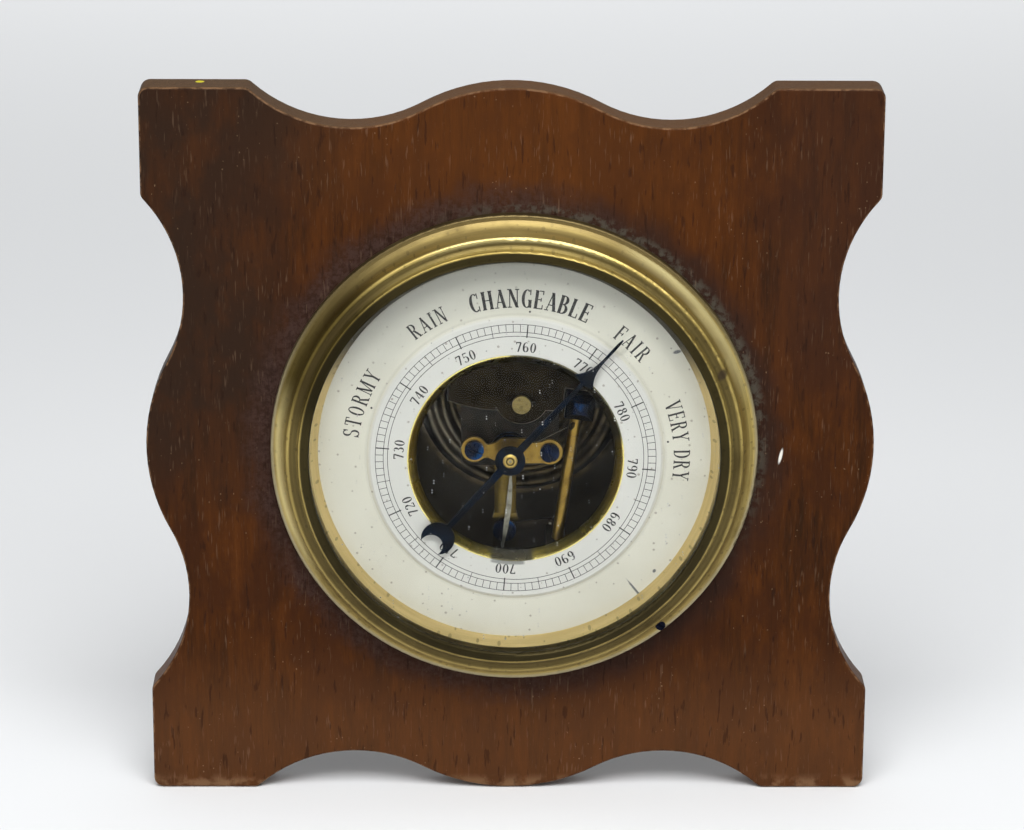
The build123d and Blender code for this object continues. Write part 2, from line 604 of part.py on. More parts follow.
def make_lever_blade():
    """A thin bright steel strip lying over the lever, pinned at its foot."""
    (top_x, top_z), (foot_x, foot_z) = BLADE_TOP, BLADE_FOOT
    half_top, half_foot = 0.25, 0.25
    front = LEVER_FRONT - LINK_ARM_THICK - REGULATOR_HEIGHT - BLADE_GAP - BLADE_THICK
    strip = make_face([
        Spline((top_x - half_top, top_z), (top_x - 0.9, top_z - 5.5), (foot_x - half_foot, foot_z)),
        Line((foot_x - half_foot, foot_z), (foot_x + half_foot, foot_z)),
        Spline((foot_x + half_foot, foot_z), (top_x + 0.35, top_z - 5.0), (top_x + half_top, top_z)),
        Line((top_x + half_top, top_z), (top_x - half_top, top_z))])
    return plate(strip, front, front + BLADE_THICK) + disc(*BLADE_FOOT, BLADE_PIN, front, LEVER_BACK)


# ---- rocker: a slanted shaft with two arms, between a blued block and a foot post
PIVOT_RADIUS = 0.7
PIVOT_LENGTH = 2.0
PIVOT_HOLE_LENGTH = 2 * PIVOT_LENGTH + 0.6
FOOT_POST_WIDTH = 5.0


def make_rocker_shaft():
    length = hypot(ROCKER_TOP[0] - ROCKER_FOOT[0], ROCKER_TOP[1] - ROCKER_FOOT[1])
    middle = on_rocker((ROCKER_TOP[1] + ROCKER_FOOT[1]) / 2)
    shaft = middle * Cylinder(ROCKER_RADIUS, length)
    shaft += middle * Cylinder(PIVOT_RADIUS, length + 2 * PIVOT_LENGTH)
    groove_width, groove_depth, groove_drop = 0.5, 0.25, 4.4
    groove = Cylinder(2, groove_width) - Cylinder(ROCKER_RADIUS - groove_depth, groove_width)
    return shaft - middle * Pos(0, 0, length / 2 - groove_drop) * groove - rocker_slots()


def rocker_arm_place(z):
    """A frame on the shaft at a height, turned to the way the arms stand at rest."""
    return on_rocker(z) * Rot(0, 0, -ROCKER_REST)


def rocker_slots():
    """The two cross holes that hold the arms."""
    chain_width, chain_height = CHAIN_ARM_SIZE
    link_width, link_height = LINK_ARM_SIZE
    across = 4
    chain = rocker_arm_place(CHAIN_ARM_Z) * Box(chain_width + FIT, across, chain_height + FIT)
    link = rocker_arm_place(LINK_Z) * Box(across, link_width + FIT, link_height + FIT)
    return chain + link


def make_chain_arm():
    """Stands towards the front from the shaft, and pulls the chain."""
    width, height = CHAIN_ARM_SIZE
    length = ROCKER_RADIUS + CHAIN_ARM_LENGTH
    return rocker_arm_place(CHAIN_ARM_Z) * Pos(0, ROCKER_RADIUS - length / 2, 0) * Box(width, length, height)


def make_rocker_link_arm():
    """Reaches from the shaft to the connecting link."""
    width, height = LINK_ARM_SIZE
    length = ROCKER_RADIUS + LINK_ARM_LENGTH + 2 * LINK_WIRE
    arm = rocker_arm_place(LINK_Z) * Pos(ROCKER_RADIUS - length / 2, 0, 0) * Box(length, width, height)
    return arm - disc(*LINK, LINK_WIRE + 2 * RUNNING, 0, LEVER_FRONT)


def make_rocker_block():
    """The faceted blued block on the frame's ear that holds the shaft's upper pivot."""
    depth = FRAME_FRONT + 0.4
    block = Box(BLOCK_WIDTH, depth, BLOCK_HEIGHT)
    front = block.faces().sort_by(Axis.Y)[0]
    block = chamfer(front.edges(), BLOCK_BEVEL)
    block = rocker_block_place() * Pos(0, FRAME_FRONT - ROCKER_Y - depth / 2, 0) * block
    return block - on_rocker(ROCKER_TOP[1]) * Cylinder(PIVOT_RADIUS + RUNNING, PIVOT_HOLE_LENGTH)


def make_rocker_foot_post():
    """A square post on the base plate that holds the shaft's lower pivot."""
    front = 0.6
    below = ROCKER_FOOT[1] - 0.2 - FOOT_POST_WIDTH / 2
    centre = Pos(rocker_x(below), (front + BASE_FRONT) / 2, below - 0.3)
    post = centre * Box(FOOT_POST_WIDTH, BASE_FRONT - front, FOOT_POST_WIDTH)
    return post - on_rocker(ROCKER_FOOT[1]) * Cylinder(PIVOT_RADIUS + RUNNING, PIVOT_HOLE_LENGTH)


# ---- pointer: arbor, drum, chain, hairspring, bush and hand
CHAIN_DRUM_FRONT = 1.5
CHAIN_DRUM_THICK = 1.2
CHAIN_DRUM_RADIUS = 0.75
CHAIN_RADIUS = 0.15
HAIRSPRING_FRONT = 3.0
HAIRSPRING_DEPTH = 0.6
HAIRSPRING_STRIP = 0.16
HAIRSPRING_INNER = 1.5
HAIRSPRING_OUTER = 5.2
HAIRSPRING_TURNS = 5
HAIRSPRING_STUD_RADIUS = 0.6
COLLET_EDGE = 0.1            # how far the collet stands past the strip at each side
BUSH_RADIUS = 1.85
BUSH_FRONT = -6.7
BUSH_BACK = -5.3
BUSH_EDGE = (1.5, -6.5)      # radius of the bush's face, and where its bevel ends
POINTER_HUB = 3.9
SPADE_START = 28.3           # distances along the hand, from the arbor
POINTER_TIP = 43.0
SPADE_HALF_WIDTH = 3.1
TAIL_LENGTH = 28.0
CRESCENT_RADIUS = 4.35
CRESCENT_CUT = (3.0, 2.6)    # radius of the round cut and how far it sits below the crescent's middle


def make_pointer_arbor():
    tail_end = FRAME_BACK - 0.2
    return disc(HUB_X, HUB_Z, ARBOR_RADIUS, POINTER_FRONT + 0.1, tail_end)


def make_chain_drum():
    return ring(HUB_X, HUB_Z, CHAIN_DRUM_RADIUS, ARBOR_RADIUS + PRESSED, CHAIN_DRUM_FRONT,
                CHAIN_DRUM_FRONT + CHAIN_DRUM_THICK)


def spiral_curve(spare):
    """The hairspring's Archimedean curve, made wider by some spare."""
    steps = 12 * HAIRSPRING_TURNS
    points = []
    for i in range(steps + 1):
        radius = HAIRSPRING_INNER + (HAIRSPRING_OUTER - HAIRSPRING_INNER) * i / steps + spare
        angle = 2 * pi * HAIRSPRING_TURNS * i / steps
        points.append((HUB_X + radius * cos(angle), HUB_Z + radius * sin(angle)))
    return points


def make_hairspring():
    """A flat spiral strip on its collet."""
    inner, outer = spiral_curve(-HAIRSPRING_STRIP / 2), spiral_curve(HAIRSPRING_STRIP / 2)
    strip = make_face([Spline(inner), Line(inner[-1], outer[-1]), Spline(outer), Line(outer[0], inner[0])])
    back = HAIRSPRING_FRONT + HAIRSPRING_DEPTH
    collet = ring(HUB_X, HUB_Z, HAIRSPRING_INNER, ARBOR_RADIUS + PRESSED, HAIRSPRING_FRONT - COLLET_EDGE,
                  back + COLLET_EDGE)
    return plate(strip, HAIRSPRING_FRONT, back) + collet


def make_hairspring_stud():
    x = HUB_X + HAIRSPRING_OUTER + HAIRSPRING_STRIP / 2 + HAIRSPRING_STUD_RADIUS
    return disc(x, HUB_Z, HAIRSPRING_STUD_RADIUS, HAIRSPRING_FRONT - 0.3, FRAME_FRONT)


def make_chain():
    """From the lower side of the drum to the tip of the chain arm."""
    arm_half = CHAIN_ARM_SIZE[0] / 2
    tip = rocker_arm_place(CHAIN_ARM_Z) * Pos(-arm_half, 0.3 - CHAIN_ARM_LENGTH, 0)
    end = tip.position - Vector(CHAIN_RADIUS, 0, 0)
    below = CHAIN_DRUM_RADIUS + CHAIN_RADIUS + 0.05
    start = Vector(HUB_X + 0.4, CHAIN_DRUM_FRONT + CHAIN_DRUM_THICK / 2, HUB_Z - below)
    run = Line(start, end)
    return sweep((run ^ 0) * Circle(CHAIN_RADIUS), run)


def make_pointer_bush():
    bore = ARBOR_RADIUS + PRESSED
    face_radius, bevel_end = BUSH_EDGE
    return turned(HUB_X, HUB_Z, *path(
        (bore, BUSH_FRONT), (face_radius, BUSH_FRONT), (BUSH_RADIUS, bevel_end), (BUSH_RADIUS, BUSH_BACK),
        (bore, BUSH_BACK)))


def tapered(start, half_start, end, half_end):
    """A straight arm along the hand's own upright axis."""
    return make_face(path((-half_start, start), (-half_end, end), (half_end, end), (half_start, start),
                          (-half_start, start)))


def make_spade():
    """The hand's concave shoulders, drawn out into a needle."""
    right = [(SPADE_HALF_WIDTH, SPADE_START), (1.0, SPADE_START + 3.2), (0.35, SPADE_START + 8),
             (0.14, POINTER_TIP)]
    left = [(-x, z) for x, z in right]
    notch = (0, SPADE_START - 0.9)
    return make_face([*path(left[0], notch, right[0]), Spline(right), Line(right[-1], left[-1]),
                      Spline(left[::-1])])


def make_pointer():
    """Blued hand: a disc, a thin arm with a concave spade and needle, and a crescent tail."""
    inside_hub = 3.0
    arm = tapered(inside_hub, 1.0, SPADE_START, 0.5)
    tail = tapered(-inside_hub, 1.0, -TAIL_LENGTH + 3, 0.7)
    cut_radius, cut_below = CRESCENT_CUT
    crescent = Pos(0, -TAIL_LENGTH) * Circle(CRESCENT_RADIUS)
    crescent -= Pos(0, -TAIL_LENGTH - cut_below) * Circle(cut_radius)
    hand = Circle(POINTER_HUB) + arm + make_spade() + tail + crescent - Circle(BUSH_RADIUS + PRESSED)
    hand = Pos(HUB_X, HUB_Z) * Rot(0, 0, -POINTER_ANGLE) * hand
    return plate(hand, POINTER_FRONT, POINTER_FRONT + POINTER_THICK)


# ---- movement bridge: the bat-wing plate in front of the drum and hairspring
BRIDGE_BACK = BRIDGE_FRONT + BRIDGE_THICK
BRIDGE_SCREW_RADIUS = 1.0
BRIDGE_SCREW_HEAD = 2.5
BRIDGE_SCREW_HEIGHT = 1.1
BRIDGE_SCREW_LENGTH = 5.4
BRIDGE_SCREW_TURNS = (20, 75)
BRIDGE_END_RADIUS = 3.3
BRIDGE_BEND = 0.7
BRIDGE_PILLAR_RADIUS = 2.0


def make_movement_bridge():
    """Two round ends joined by a web that swells round the arbor."""
    (left_x, left_z), (right_x, right_z) = PILLAR_SPOTS
    web = make_face(path(
        (left_x, left_z + 2.6), (HUB_X - 5.6, HUB_Z + 2.5), (HUB_X - 3.6, HUB_Z + 3.1),
        (HUB_X - 2.3, HUB_Z + 4.2), (HUB_X + 4.2, HUB_Z + 4.2), (HUB_X + 6.0, HUB_Z + 3.0),
        (right_x, right_z + 2.9), (right_x, right_z - 3.0), (HUB_X + 5.0, HUB_Z - 2.4),
        (HUB_X - 2.4, HUB_Z - 2.4), (HUB_X - 5.6, HUB_Z - 0.9), (left_x, left_z - 2.6),
        (left_x, left_z + 2.6)))
    outline = fillet(web.vertices().filter_by_position(Axis.X, left_x + 1, right_x - 1), BRIDGE_BEND)
    for x, z in PILLAR_SPOTS:
        outline += Pos(x, z) * Circle(BRIDGE_END_RADIUS)
        outline -= Pos(x, z) * Circle(BRIDGE_SCREW_RADIUS + FIT)
    outline -= Pos(HUB_X, HUB_Z) * Circle(ARBOR_RADIUS + RUNNING)
    return plate(outline, BRIDGE_FRONT, BRIDGE_BACK)


def make_bridge_pillars():
    return Compound([ring(x, z, BRIDGE_PILLAR_RADIUS, BRIDGE_SCREW_RADIUS + FIT, BRIDGE_BACK, FRAME_FRONT)
                     for x, z in PILLAR_SPOTS])


def make_bridge_screws():
    return Compound([screw(x, z, BRIDGE_FRONT, BRIDGE_SCREW_HEAD, BRIDGE_SCREW_HEIGHT, BRIDGE_SCREW_RADIUS,
                           BRIDGE_SCREW_LENGTH, turn)
                     for (x, z), turn in zip(PILLAR_SPOTS, BRIDGE_SCREW_TURNS)])


# ---- folding stand
LUG_SCREW_RADIUS = 1.2
LUG_SCREW_HEAD = 1.9
LUG_SCREW_HEIGHT = 1.1
LUG_SCREW_LENGTH = 7.0       # inside the board
LUG_SCREW_RISE = 3.6         # above and below the pivot
LUG_PLATE = 1.4
LUG_FOOT = (10.4, 14.0)
LUG_EAR_RADIUS = 3.4
LUG_NEAR = STAND_HALF_WIDTH + 2.4
LUG_THICK = 4.0
STAND_END = STAND_HALF_WIDTH + 9.0
STAND_BENDS = (2.2, 14.0)    # radius of the bends at the pivots, and at the cross wire


def lug_screw_places():
    return [(side * (LUG_NEAR + 7.8), STAND_PIVOT_Z + up)
            for side in (-1, 1) for up in (-LUG_SCREW_RISE, LUG_SCREW_RISE)]


def make_stand_lug(side):
    """A small brass bracket: a plate on the board's back, and an ear that holds the wire's end."""
    foot_centre = side * (LUG_NEAR + LUG_FOOT[0] / 2)
    plate_back = BOARD_THICK + LUG_PLATE
    foot = plate(Pos(foot_centre, STAND_PIVOT_Z) * RectangleRounded(*LUG_FOOT, 1.5), BOARD_THICK, plate_back)
    ear_centre = side * (LUG_NEAR + LUG_THICK / 2)
    web_mid = (BOARD_THICK + STAND_PIVOT_Y) / 2
    pivot = Pos(ear_centre, STAND_PIVOT_Y, STAND_PIVOT_Z) * Rot(0, 90, 0)
    ear = pivot * Cylinder(LUG_EAR_RADIUS, LUG_THICK)
    web_size = (LUG_THICK, STAND_PIVOT_Y - BOARD_THICK, 2 * LUG_EAR_RADIUS)
    web = Pos(ear_centre, web_mid, STAND_PIVOT_Z) * Box(*web_size)
    lug = foot + ear + web - pivot * Cylinder(STAND_WIRE + RUNNING, 2 * LUG_THICK)
    for x, z in lug_screw_places():
        lug -= hole(x, z, LUG_SCREW_RADIUS + FIT, BOARD_THICK, plate_back)
    return lug


def make_lug_screws():
    length = LUG_PLATE + LUG_SCREW_LENGTH - 0.5
    return Compound([screw(x, z, BOARD_THICK + LUG_PLATE, LUG_SCREW_HEAD, LUG_SCREW_HEIGHT, LUG_SCREW_RADIUS,
                           length, turn=25 * i, facing=1)
                     for i, (x, z) in enumerate(lug_screw_places())])


def make_stand():
    """A wire bail: two ends in the lugs, two legs and a cross wire that rests on the table."""
    lean = asin((STAND_FOOT_Y - STAND_PIVOT_Y) / STAND_REACH)
    leg_plane = Plane(origin=(0, STAND_PIVOT_Y, STAND_PIVOT_Z), x_dir=(1, 0, 0),
                      z_dir=(0, cos(lean), sin(lean)))
    wide, end, reach = STAND_HALF_WIDTH, STAND_END, STAND_REACH
    route = FilletPolyline((-end, 0), (-wide, 0), (-wide, reach), (wide, reach), (wide, 0), (end, 0),
                           radius=(STAND_BENDS[0], STAND_BENDS[1], STAND_BENDS[1], STAND_BENDS[0]))
    route = leg_plane * route
    return sweep((route ^ 0) * Circle(STAND_WIRE), route)


def main():
    glass = disc(CASE_X, CASE_Z, GLASS_RADIUS, LIP_BACK, LIP_BACK + GLASS_THICK)
    capsule_front = make_diaphragm()
    capsule_back = mirror(capsule_front, Plane.XZ.offset(-CAPSULE_JOINT))
    pieces = {
        "board": make_board(),
        "bezel": make_bezel(),
        "bezel_lock_screw": make_lock_screw(),
        "glass": glass,
        "reflector_ring": make_reflector_ring(),
        "case_drum": make_case_drum(),
        "case_flange_screws": make_flange_screws(),
        "case_back_screws": make_back_screws(),
        "dial": make_dial(),
        "dial_sight_ring": make_sight_ring(),
        "dial_pillars": make_dial_pillars(),
        "base_plate": make_base_plate(),
        "spring_bridge": make_spring_bridge(),
        "spring_bridge_screws": make_frame_screws(),
        "capsule_front": capsule_front,
        "capsule_back": capsule_back,
        "capsule_stud": make_capsule_stud(),
        "adjusting_screw": make_adjusting_screw(),
        "capsule_post": make_capsule_post(),
        "knife_edge_pin": knife_pin(),
        "main_spring": make_main_spring(),
        "spring_clamp": make_spring_clamp(),
        "spring_clamp_screws": make_clamp_screws(),
        "lever_collar": make_lever_collar(),
        "main_lever": make_main_lever(),
        "link_arm": make_link_arm(),
        "connecting_link": make_connecting_link(),
        "regulating_screw": make_regulating_screw(),
        "lever_blade": make_lever_blade(),
        "rocker_shaft": make_rocker_shaft(),
        "rocker_chain_arm": make_chain_arm(),
        "rocker_link_arm": make_rocker_link_arm(),
        "rocker_block": make_rocker_block(),
        "rocker_foot_post": make_rocker_foot_post(),
        "pointer_arbor": make_pointer_arbor(),
        "chain_drum": make_chain_drum(),
        "pointer_chain": make_chain(),
        "hairspring": make_hairspring(),
        "hairspring_stud": make_hairspring_stud(),
        "movement_bridge": make_movement_bridge(),
        "bridge_pillars": make_bridge_pillars(),
        "bridge_screws": make_bridge_screws(),
        "pointer_bush": make_pointer_bush(),
        "pointer": make_pointer(),
        "stand_lug_left": make_stand_lug(-1),
        "stand_lug_right": make_stand_lug(1),
        "stand_lug_screws": make_lug_screws(),
        "wire_stand": make_stand(),
    }
    for name, shape in pieces.items():
        save(name, shape)


main()
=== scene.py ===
import json
from math import cos, degrees, pi, radians, sin

import bmesh
import bpy
from mathutils import Matrix, Vector


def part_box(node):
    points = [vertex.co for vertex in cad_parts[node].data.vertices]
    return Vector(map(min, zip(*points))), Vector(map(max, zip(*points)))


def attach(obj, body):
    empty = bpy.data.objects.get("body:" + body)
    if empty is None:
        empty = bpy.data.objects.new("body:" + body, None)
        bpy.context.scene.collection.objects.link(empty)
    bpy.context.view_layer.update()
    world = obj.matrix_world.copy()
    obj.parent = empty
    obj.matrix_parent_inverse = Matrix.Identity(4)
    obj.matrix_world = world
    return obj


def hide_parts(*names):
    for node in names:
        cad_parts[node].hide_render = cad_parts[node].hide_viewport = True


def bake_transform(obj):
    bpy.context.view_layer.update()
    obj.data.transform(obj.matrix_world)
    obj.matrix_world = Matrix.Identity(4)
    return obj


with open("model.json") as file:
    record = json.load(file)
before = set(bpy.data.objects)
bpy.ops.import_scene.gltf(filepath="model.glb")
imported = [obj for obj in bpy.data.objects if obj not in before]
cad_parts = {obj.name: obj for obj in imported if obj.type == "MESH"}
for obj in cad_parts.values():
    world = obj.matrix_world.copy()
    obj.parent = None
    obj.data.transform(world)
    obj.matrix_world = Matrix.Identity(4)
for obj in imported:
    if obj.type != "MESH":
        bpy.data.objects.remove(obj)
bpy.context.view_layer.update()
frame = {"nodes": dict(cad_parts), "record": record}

# A ship's aneroid barometer on a wavy mahogany board, standing on a pale floor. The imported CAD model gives
# the shapes. This script prints the dial, links the hand's chain, gives each piece its material, and sets
# the floor, the light and the camera. Lengths are metres. Inside the materials, the print and the chain they
# are millimetres, and MM turns those to metres.
MM = 0.001


def middle(node):
    low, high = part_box(node)
    return (low + high) / 2


BOARD_LOW, BOARD_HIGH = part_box("board")
BOARD_FRONT = BOARD_LOW.y
CASE = middle("case_drum")
DIAL = middle("dial")
HUB = middle("pointer_bush")
CAPSULE = middle("capsule_front")
DIAL_STEP = 0.8 * MM
RAISED_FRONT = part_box("dial")[0].y
OUTER_FRONT = RAISED_FRONT + DIAL_STEP
RAISED_RADIUS = 37.7         # millimetres, the middle of the dial's step

# ---- the dial's print: sizes in millimetres
INK_THICK = 0.02
RING_CORNERS = 240
SCALE_CIRCLES = (32.8, 33.9, 35.95)    # radii, from the inside out
CIRCLE_WIDTH = 0.15
TICK_WIDTH = 0.15
BOLD_TICK_WIDTH = 0.3
BOLD_TICK_EXTRA = 0.3        # how much further in the ticks at the figures reach
LONG_TICK_EVERY = 5
DEGREES_PER_DIVISION = 3
FIRST_LABEL = 680
LAST_LABEL = 790
LABEL_EVERY = 10
LABEL_AT_TOP = 760
TOP_LABEL_ANGLE = 4.7        # the 760 mark, clockwise from the top
LABEL_RADIUS = 30.0
LABEL_HEIGHT = 2.6
LABEL_STRETCH = 1.2          # the figures are wider than the letters
LABEL_STROKE = 0.14          # thick stroke and letter gap, as shares of the height
LABEL_GAP = 0.06
WORD_RADIUS = 42.6
WORDS = [                    # word, angle of its middle, height, thick stroke, letter gap
    ("STORMY", -70, 4.2, 0.12, 0.22),
    ("RAIN", -32, 4.2, 0.12, 0.18),
    ("CHANGEABLE", 5, 4.9, 0.16, 0.13),
    ("FAIR", 44, 4.2, 0.12, 0.20),
    ("VERY DRY", 83.5, 4.2, 0.12, 0.15),
]
DOT_RADIUS = 39.2            # where the small dots under three of the words lie
DOT_SIZE = 0.28
DOT_CORNERS = 12
DOT_ANGLES = (-70, 5, 83.5)


# ---- letters and figures, drawn as strokes in a box one unit high
THIN = 0.055                 # a hairline's width
SERIF_REACH = 0.11           # from a stem's middle to its serif's end
STEEP = 0.3                  # strokes steeper than this end level, and flatter ones end upright
BOW_STEP = 15                # degrees between the points round an oval


def bar(x0, z0, x1, z1, weight=1.0):
    """A straight stroke. Its weight is a share of the thick stroke's, and 0 is a hairline."""
    return ("bar", x0, z0, x1, z1, weight)


def bow(x, z, half_width, half_height, start=0, end=360):
    """Part of an oval, thick at its sides. Angles are degrees, anticlockwise from the right."""
    return ("bow", x, z, half_width, half_height, start, end)


def stem(x, low=0.0, high=1.0):
    return [bar(x, low, x, high)]


def hair(x, low=0.0, high=1.0):
    return [bar(x, low, x, high, 0)]


def level(z, left, right, weight=0):
    return [bar(left, z, right, z, weight)]


def serifs(*places):
    """Fine level strokes at the ends of stems, each place an x and 0 for the foot or 1 for the top."""
    strokes = []
    for x, top in places:
        z = TOP if top else FOOT
        strokes += level(z, x - SERIF_REACH, x + SERIF_REACH)
    return strokes


TOP = 1 - THIN / 2
FOOT = THIN / 2
GLYPHS = {                   # each letter's width and strokes
    " ": (0.30, []),
    "A": (0.54, [bar(0.07, 0, 0.27, 1, 0), bar(0.27, 1, 0.47, 0)] + level(0.32, 0.14, 0.4)
          + serifs((0.07, 0), (0.47, 0))),
    "B": (0.50, stem(0.1) + [bow(0.22, 0.75, 0.16, 0.22, 90, -90), bow(0.22, 0.27, 0.2, 0.24, 90, -90)]
          + level(TOP, 0, 0.22) + level(0.52, 0.1, 0.22) + level(FOOT, 0, 0.22)),
    "C": (0.52, [bow(0.28, 0.5, 0.2, 0.475, 55, 305)] + hair(0.45, 0.7, 1) + hair(0.45, 0, 0.28)),
    "D": (0.54, stem(0.1) + [bow(0.2, 0.5, 0.25, 0.475, 90, -90)] + level(TOP, 0, 0.2) + level(FOOT, 0, 0.2)),
    "E": (0.50, stem(0.1) + level(TOP, 0, 0.42) + level(0.51, 0.1, 0.34) + level(FOOT, 0, 0.44)
          + hair(0.42, 0.78, 1) + hair(0.34, 0.41, 0.61) + hair(0.44, 0, 0.24)),
    "F": (0.47, stem(0.1) + level(TOP, 0, 0.42) + level(0.51, 0.1, 0.34) + hair(0.42, 0.78, 1)
          + hair(0.34, 0.41, 0.61) + serifs((0.1, 0))),
    "G": (0.54, [bow(0.28, 0.5, 0.2, 0.475, 55, 300)] + hair(0.45, 0.7, 1) + stem(0.44, 0.02, 0.4)
          + level(0.42, 0.33, 0.53)),
    "H": (0.56, stem(0.1) + stem(0.46) + level(0.5, 0.1, 0.46)
          + serifs((0.1, 0), (0.1, 1), (0.46, 0), (0.46, 1))),
    "I": (0.24, stem(0.12) + serifs((0.12, 0), (0.12, 1))),
    "L": (0.47, stem(0.1) + level(FOOT, 0, 0.42) + hair(0.42, 0, 0.26) + serifs((0.1, 1))),
    "M": (0.70, hair(0.08) + [bar(0.08, 1, 0.33, 0.06), bar(0.33, 0.06, 0.58, 1, 0)] + stem(0.6)
          + serifs((0.08, 0), (0.07, 1), (0.6, 0), (0.62, 1))),
    "N": (0.58, hair(0.09) + [bar(0.09, 1, 0.48, 0)] + hair(0.48) + serifs((0.09, 0), (0.07, 1), (0.48, 1))),
    "O": (0.54, [bow(0.27, 0.5, 0.2, 0.475)]),
    "R": (0.54, stem(0.1) + [bow(0.21, 0.75, 0.18, 0.225, 90, -90), bar(0.26, 0.51, 0.45, 0)]
          + level(TOP, 0, 0.21) + level(0.525, 0.1, 0.27) + serifs((0.1, 0), (0.46, 0))),
    "S": (0.48, [bow(0.24, 0.745, 0.16, 0.228, 30, 265), bow(0.24, 0.27, 0.18, 0.243, 92, -150)]
          + hair(0.4, 0.72, 1) + hair(0.06, 0, 0.28)),
    "T": (0.50, stem(0.25) + level(TOP, 0.02, 0.48) + hair(0.03, 0.78, 1) + hair(0.47, 0.78, 1)
          + serifs((0.25, 0))),
    "V": (0.54, [bar(0.07, 1, 0.27, 0), bar(0.27, 0, 0.47, 1, 0)] + serifs((0.07, 1), (0.47, 1))),
    "Y": (0.52, [bar(0.06, 1, 0.26, 0.45), bar(0.26, 0.45, 0.46, 1, 0)] + stem(0.26, 0, 0.47)
          + serifs((0.06, 1), (0.46, 1), (0.26, 0))),
    "0": (0.54, [bow(0.27, 0.5, 0.17, 0.475)]),
    "1": (0.46, stem(0.25) + [bar(0.1, 0.8, 0.25, 1, 0)] + serifs((0.25, 0))),
    "2": (0.54, [bow(0.26, 0.74, 0.15, 0.235, 165, -35), bar(0.38, 0.6, 0.09, 0.08, 0.3)]
          + level(0.06, 0.08, 0.46, 0.6) + hair(0.45, 0.05, 0.25)),
    "3": (0.52, [bow(0.25, 0.76, 0.13, 0.215, 150, -90), bow(0.25, 0.28, 0.17, 0.255, 90, -150)]),
    "4": (0.56, stem(0.37) + [bar(0.05, 0.3, 0.36, 1, 0)] + level(0.3, 0.05, 0.52) + serifs((0.37, 0))),
    "5": (0.52, hair(0.12, 0.5, 0.96) + level(0.94, 0.12, 0.43, 0.6)
          + [bow(0.24, 0.31, 0.18, 0.285, 130, -150)]),
    "6": (0.54, [bow(0.28, 0.5, 0.19, 0.475, 60, 270), bow(0.27, 0.29, 0.17, 0.265)]),
    "7": (0.52, level(0.94, 0.07, 0.46, 0.7) + hair(0.08, 0.76, 1) + [bar(0.44, 0.92, 0.22, 0, 0.8)]),
    "8": (0.54, [bow(0.27, 0.76, 0.13, 0.215), bow(0.27, 0.28, 0.17, 0.255)]),
    "9": (0.54, [bow(0.26, 0.5, 0.19, 0.475, -120, 90), bow(0.27, 0.71, 0.17, 0.265)]),
}


def stroke_outline(stroke, thick):
    """The corners of one stroke, in the glyph's own units."""
    if stroke[0] == "bar":
        _, x0, z0, x1, z1, weight = stroke
        half = (THIN + (thick - THIN) * weight) / 2
        if abs(z1 - z0) > STEEP * abs(x1 - x0):
            return [(x0 - half, z0), (x0 + half, z0), (x1 + half, z1), (x1 - half, z1)]
        return [(x0, z0 - half), (x1, z1 - half), (x1, z1 + half), (x0, z0 + half)]
    _, x, z, half_width, half_height, start, end = stroke
    steps = max(3, round(abs(end - start) / BOW_STEP))
    turns = [radians(start + (end - start) * i / steps) for i in range(steps + 1)]
    outer = [(x + (half_width + thick / 2) * cos(t), z + (half_height + THIN / 2) * sin(t)) for t in turns]
    inner = [(x + (half_width - thick / 2) * cos(t), z + (half_height - THIN / 2) * sin(t)) for t in turns]
    return outer + inner[::-1]


def strip_pairs(outline):
    """Splits a stroke's outline into four-sided stretches, so that curved strokes have no hollow faces."""
    count = len(outline) // 2
    near = outline[:count]
    far = outline[count:][::-1]
    return [(near[i], near[i + 1], far[i + 1], far[i]) for i in range(count - 1)]


# ---- flat printed shapes
def on_circle(angle, radius, along=0.0):
    """A point at an angle clockwise from the top, moved along the circle, in millimetres from the middle."""
    turn = radians(angle)
    return radius * sin(turn) + along * cos(turn), radius * cos(turn) - along * sin(turn)


def ink_faces(front):
    """Where the print's front and back lie: a little before and a little behind the face it is printed on."""
    return front - INK_THICK * MM, front + INK_THICK * MM / 2


def add_patch(mesh, corners, front):
    """A thin closed plate with these corners, given in millimetres from the dial's middle."""
    rows = []
    for y in ink_faces(front):
        rows.append([mesh.verts.new((DIAL.x + x * MM, y, DIAL.z + z * MM)) for x, z in corners])
    mesh.faces.new(rows[0])
    mesh.faces.new(rows[1][::-1])
    for i in range(len(corners)):
        j = (i + 1) % len(corners)
        mesh.faces.new((rows[0][j], rows[0][i], rows[1][i], rows[1][j]))


def add_ring(mesh, radius, width, front):
    """A thin closed ring about the dial's middle."""
    turns = [2 * pi * i / RING_CORNERS for i in range(RING_CORNERS)]
    rows = []
    for y in ink_faces(front):
        for reach in (radius + width / 2, radius - width / 2):
            rows.append([mesh.verts.new((DIAL.x + reach * MM * sin(t), y, DIAL.z + reach * MM * cos(t)))
                         for t in turns])
    front_out, front_in, back_out, back_in = rows
    walls = [(front_out, front_in), (back_in, back_out), (back_out, front_out), (front_in, back_in)]
    for near, far in walls:
        for i in range(RING_CORNERS):
            j = (i + 1) % RING_CORNERS
            mesh.faces.new((near[i], near[j], far[j], far[i]))


def to_object(name, mesh):
    """Turns a finished mesh into an object in the scene."""
    data = bpy.data.meshes.new(name)
    mesh.to_mesh(data)
    mesh.free()
    made = bpy.data.objects.new(name, data)
    bpy.context.scene.collection.objects.link(made)
    return made


def printed(name, mesh):
    """Turns the finished plates into a piece that rides on the case."""
    bmesh.ops.recalc_face_normals(mesh, faces=mesh.faces)
    piece = to_object(name, mesh)
    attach(piece, "case")
    return piece


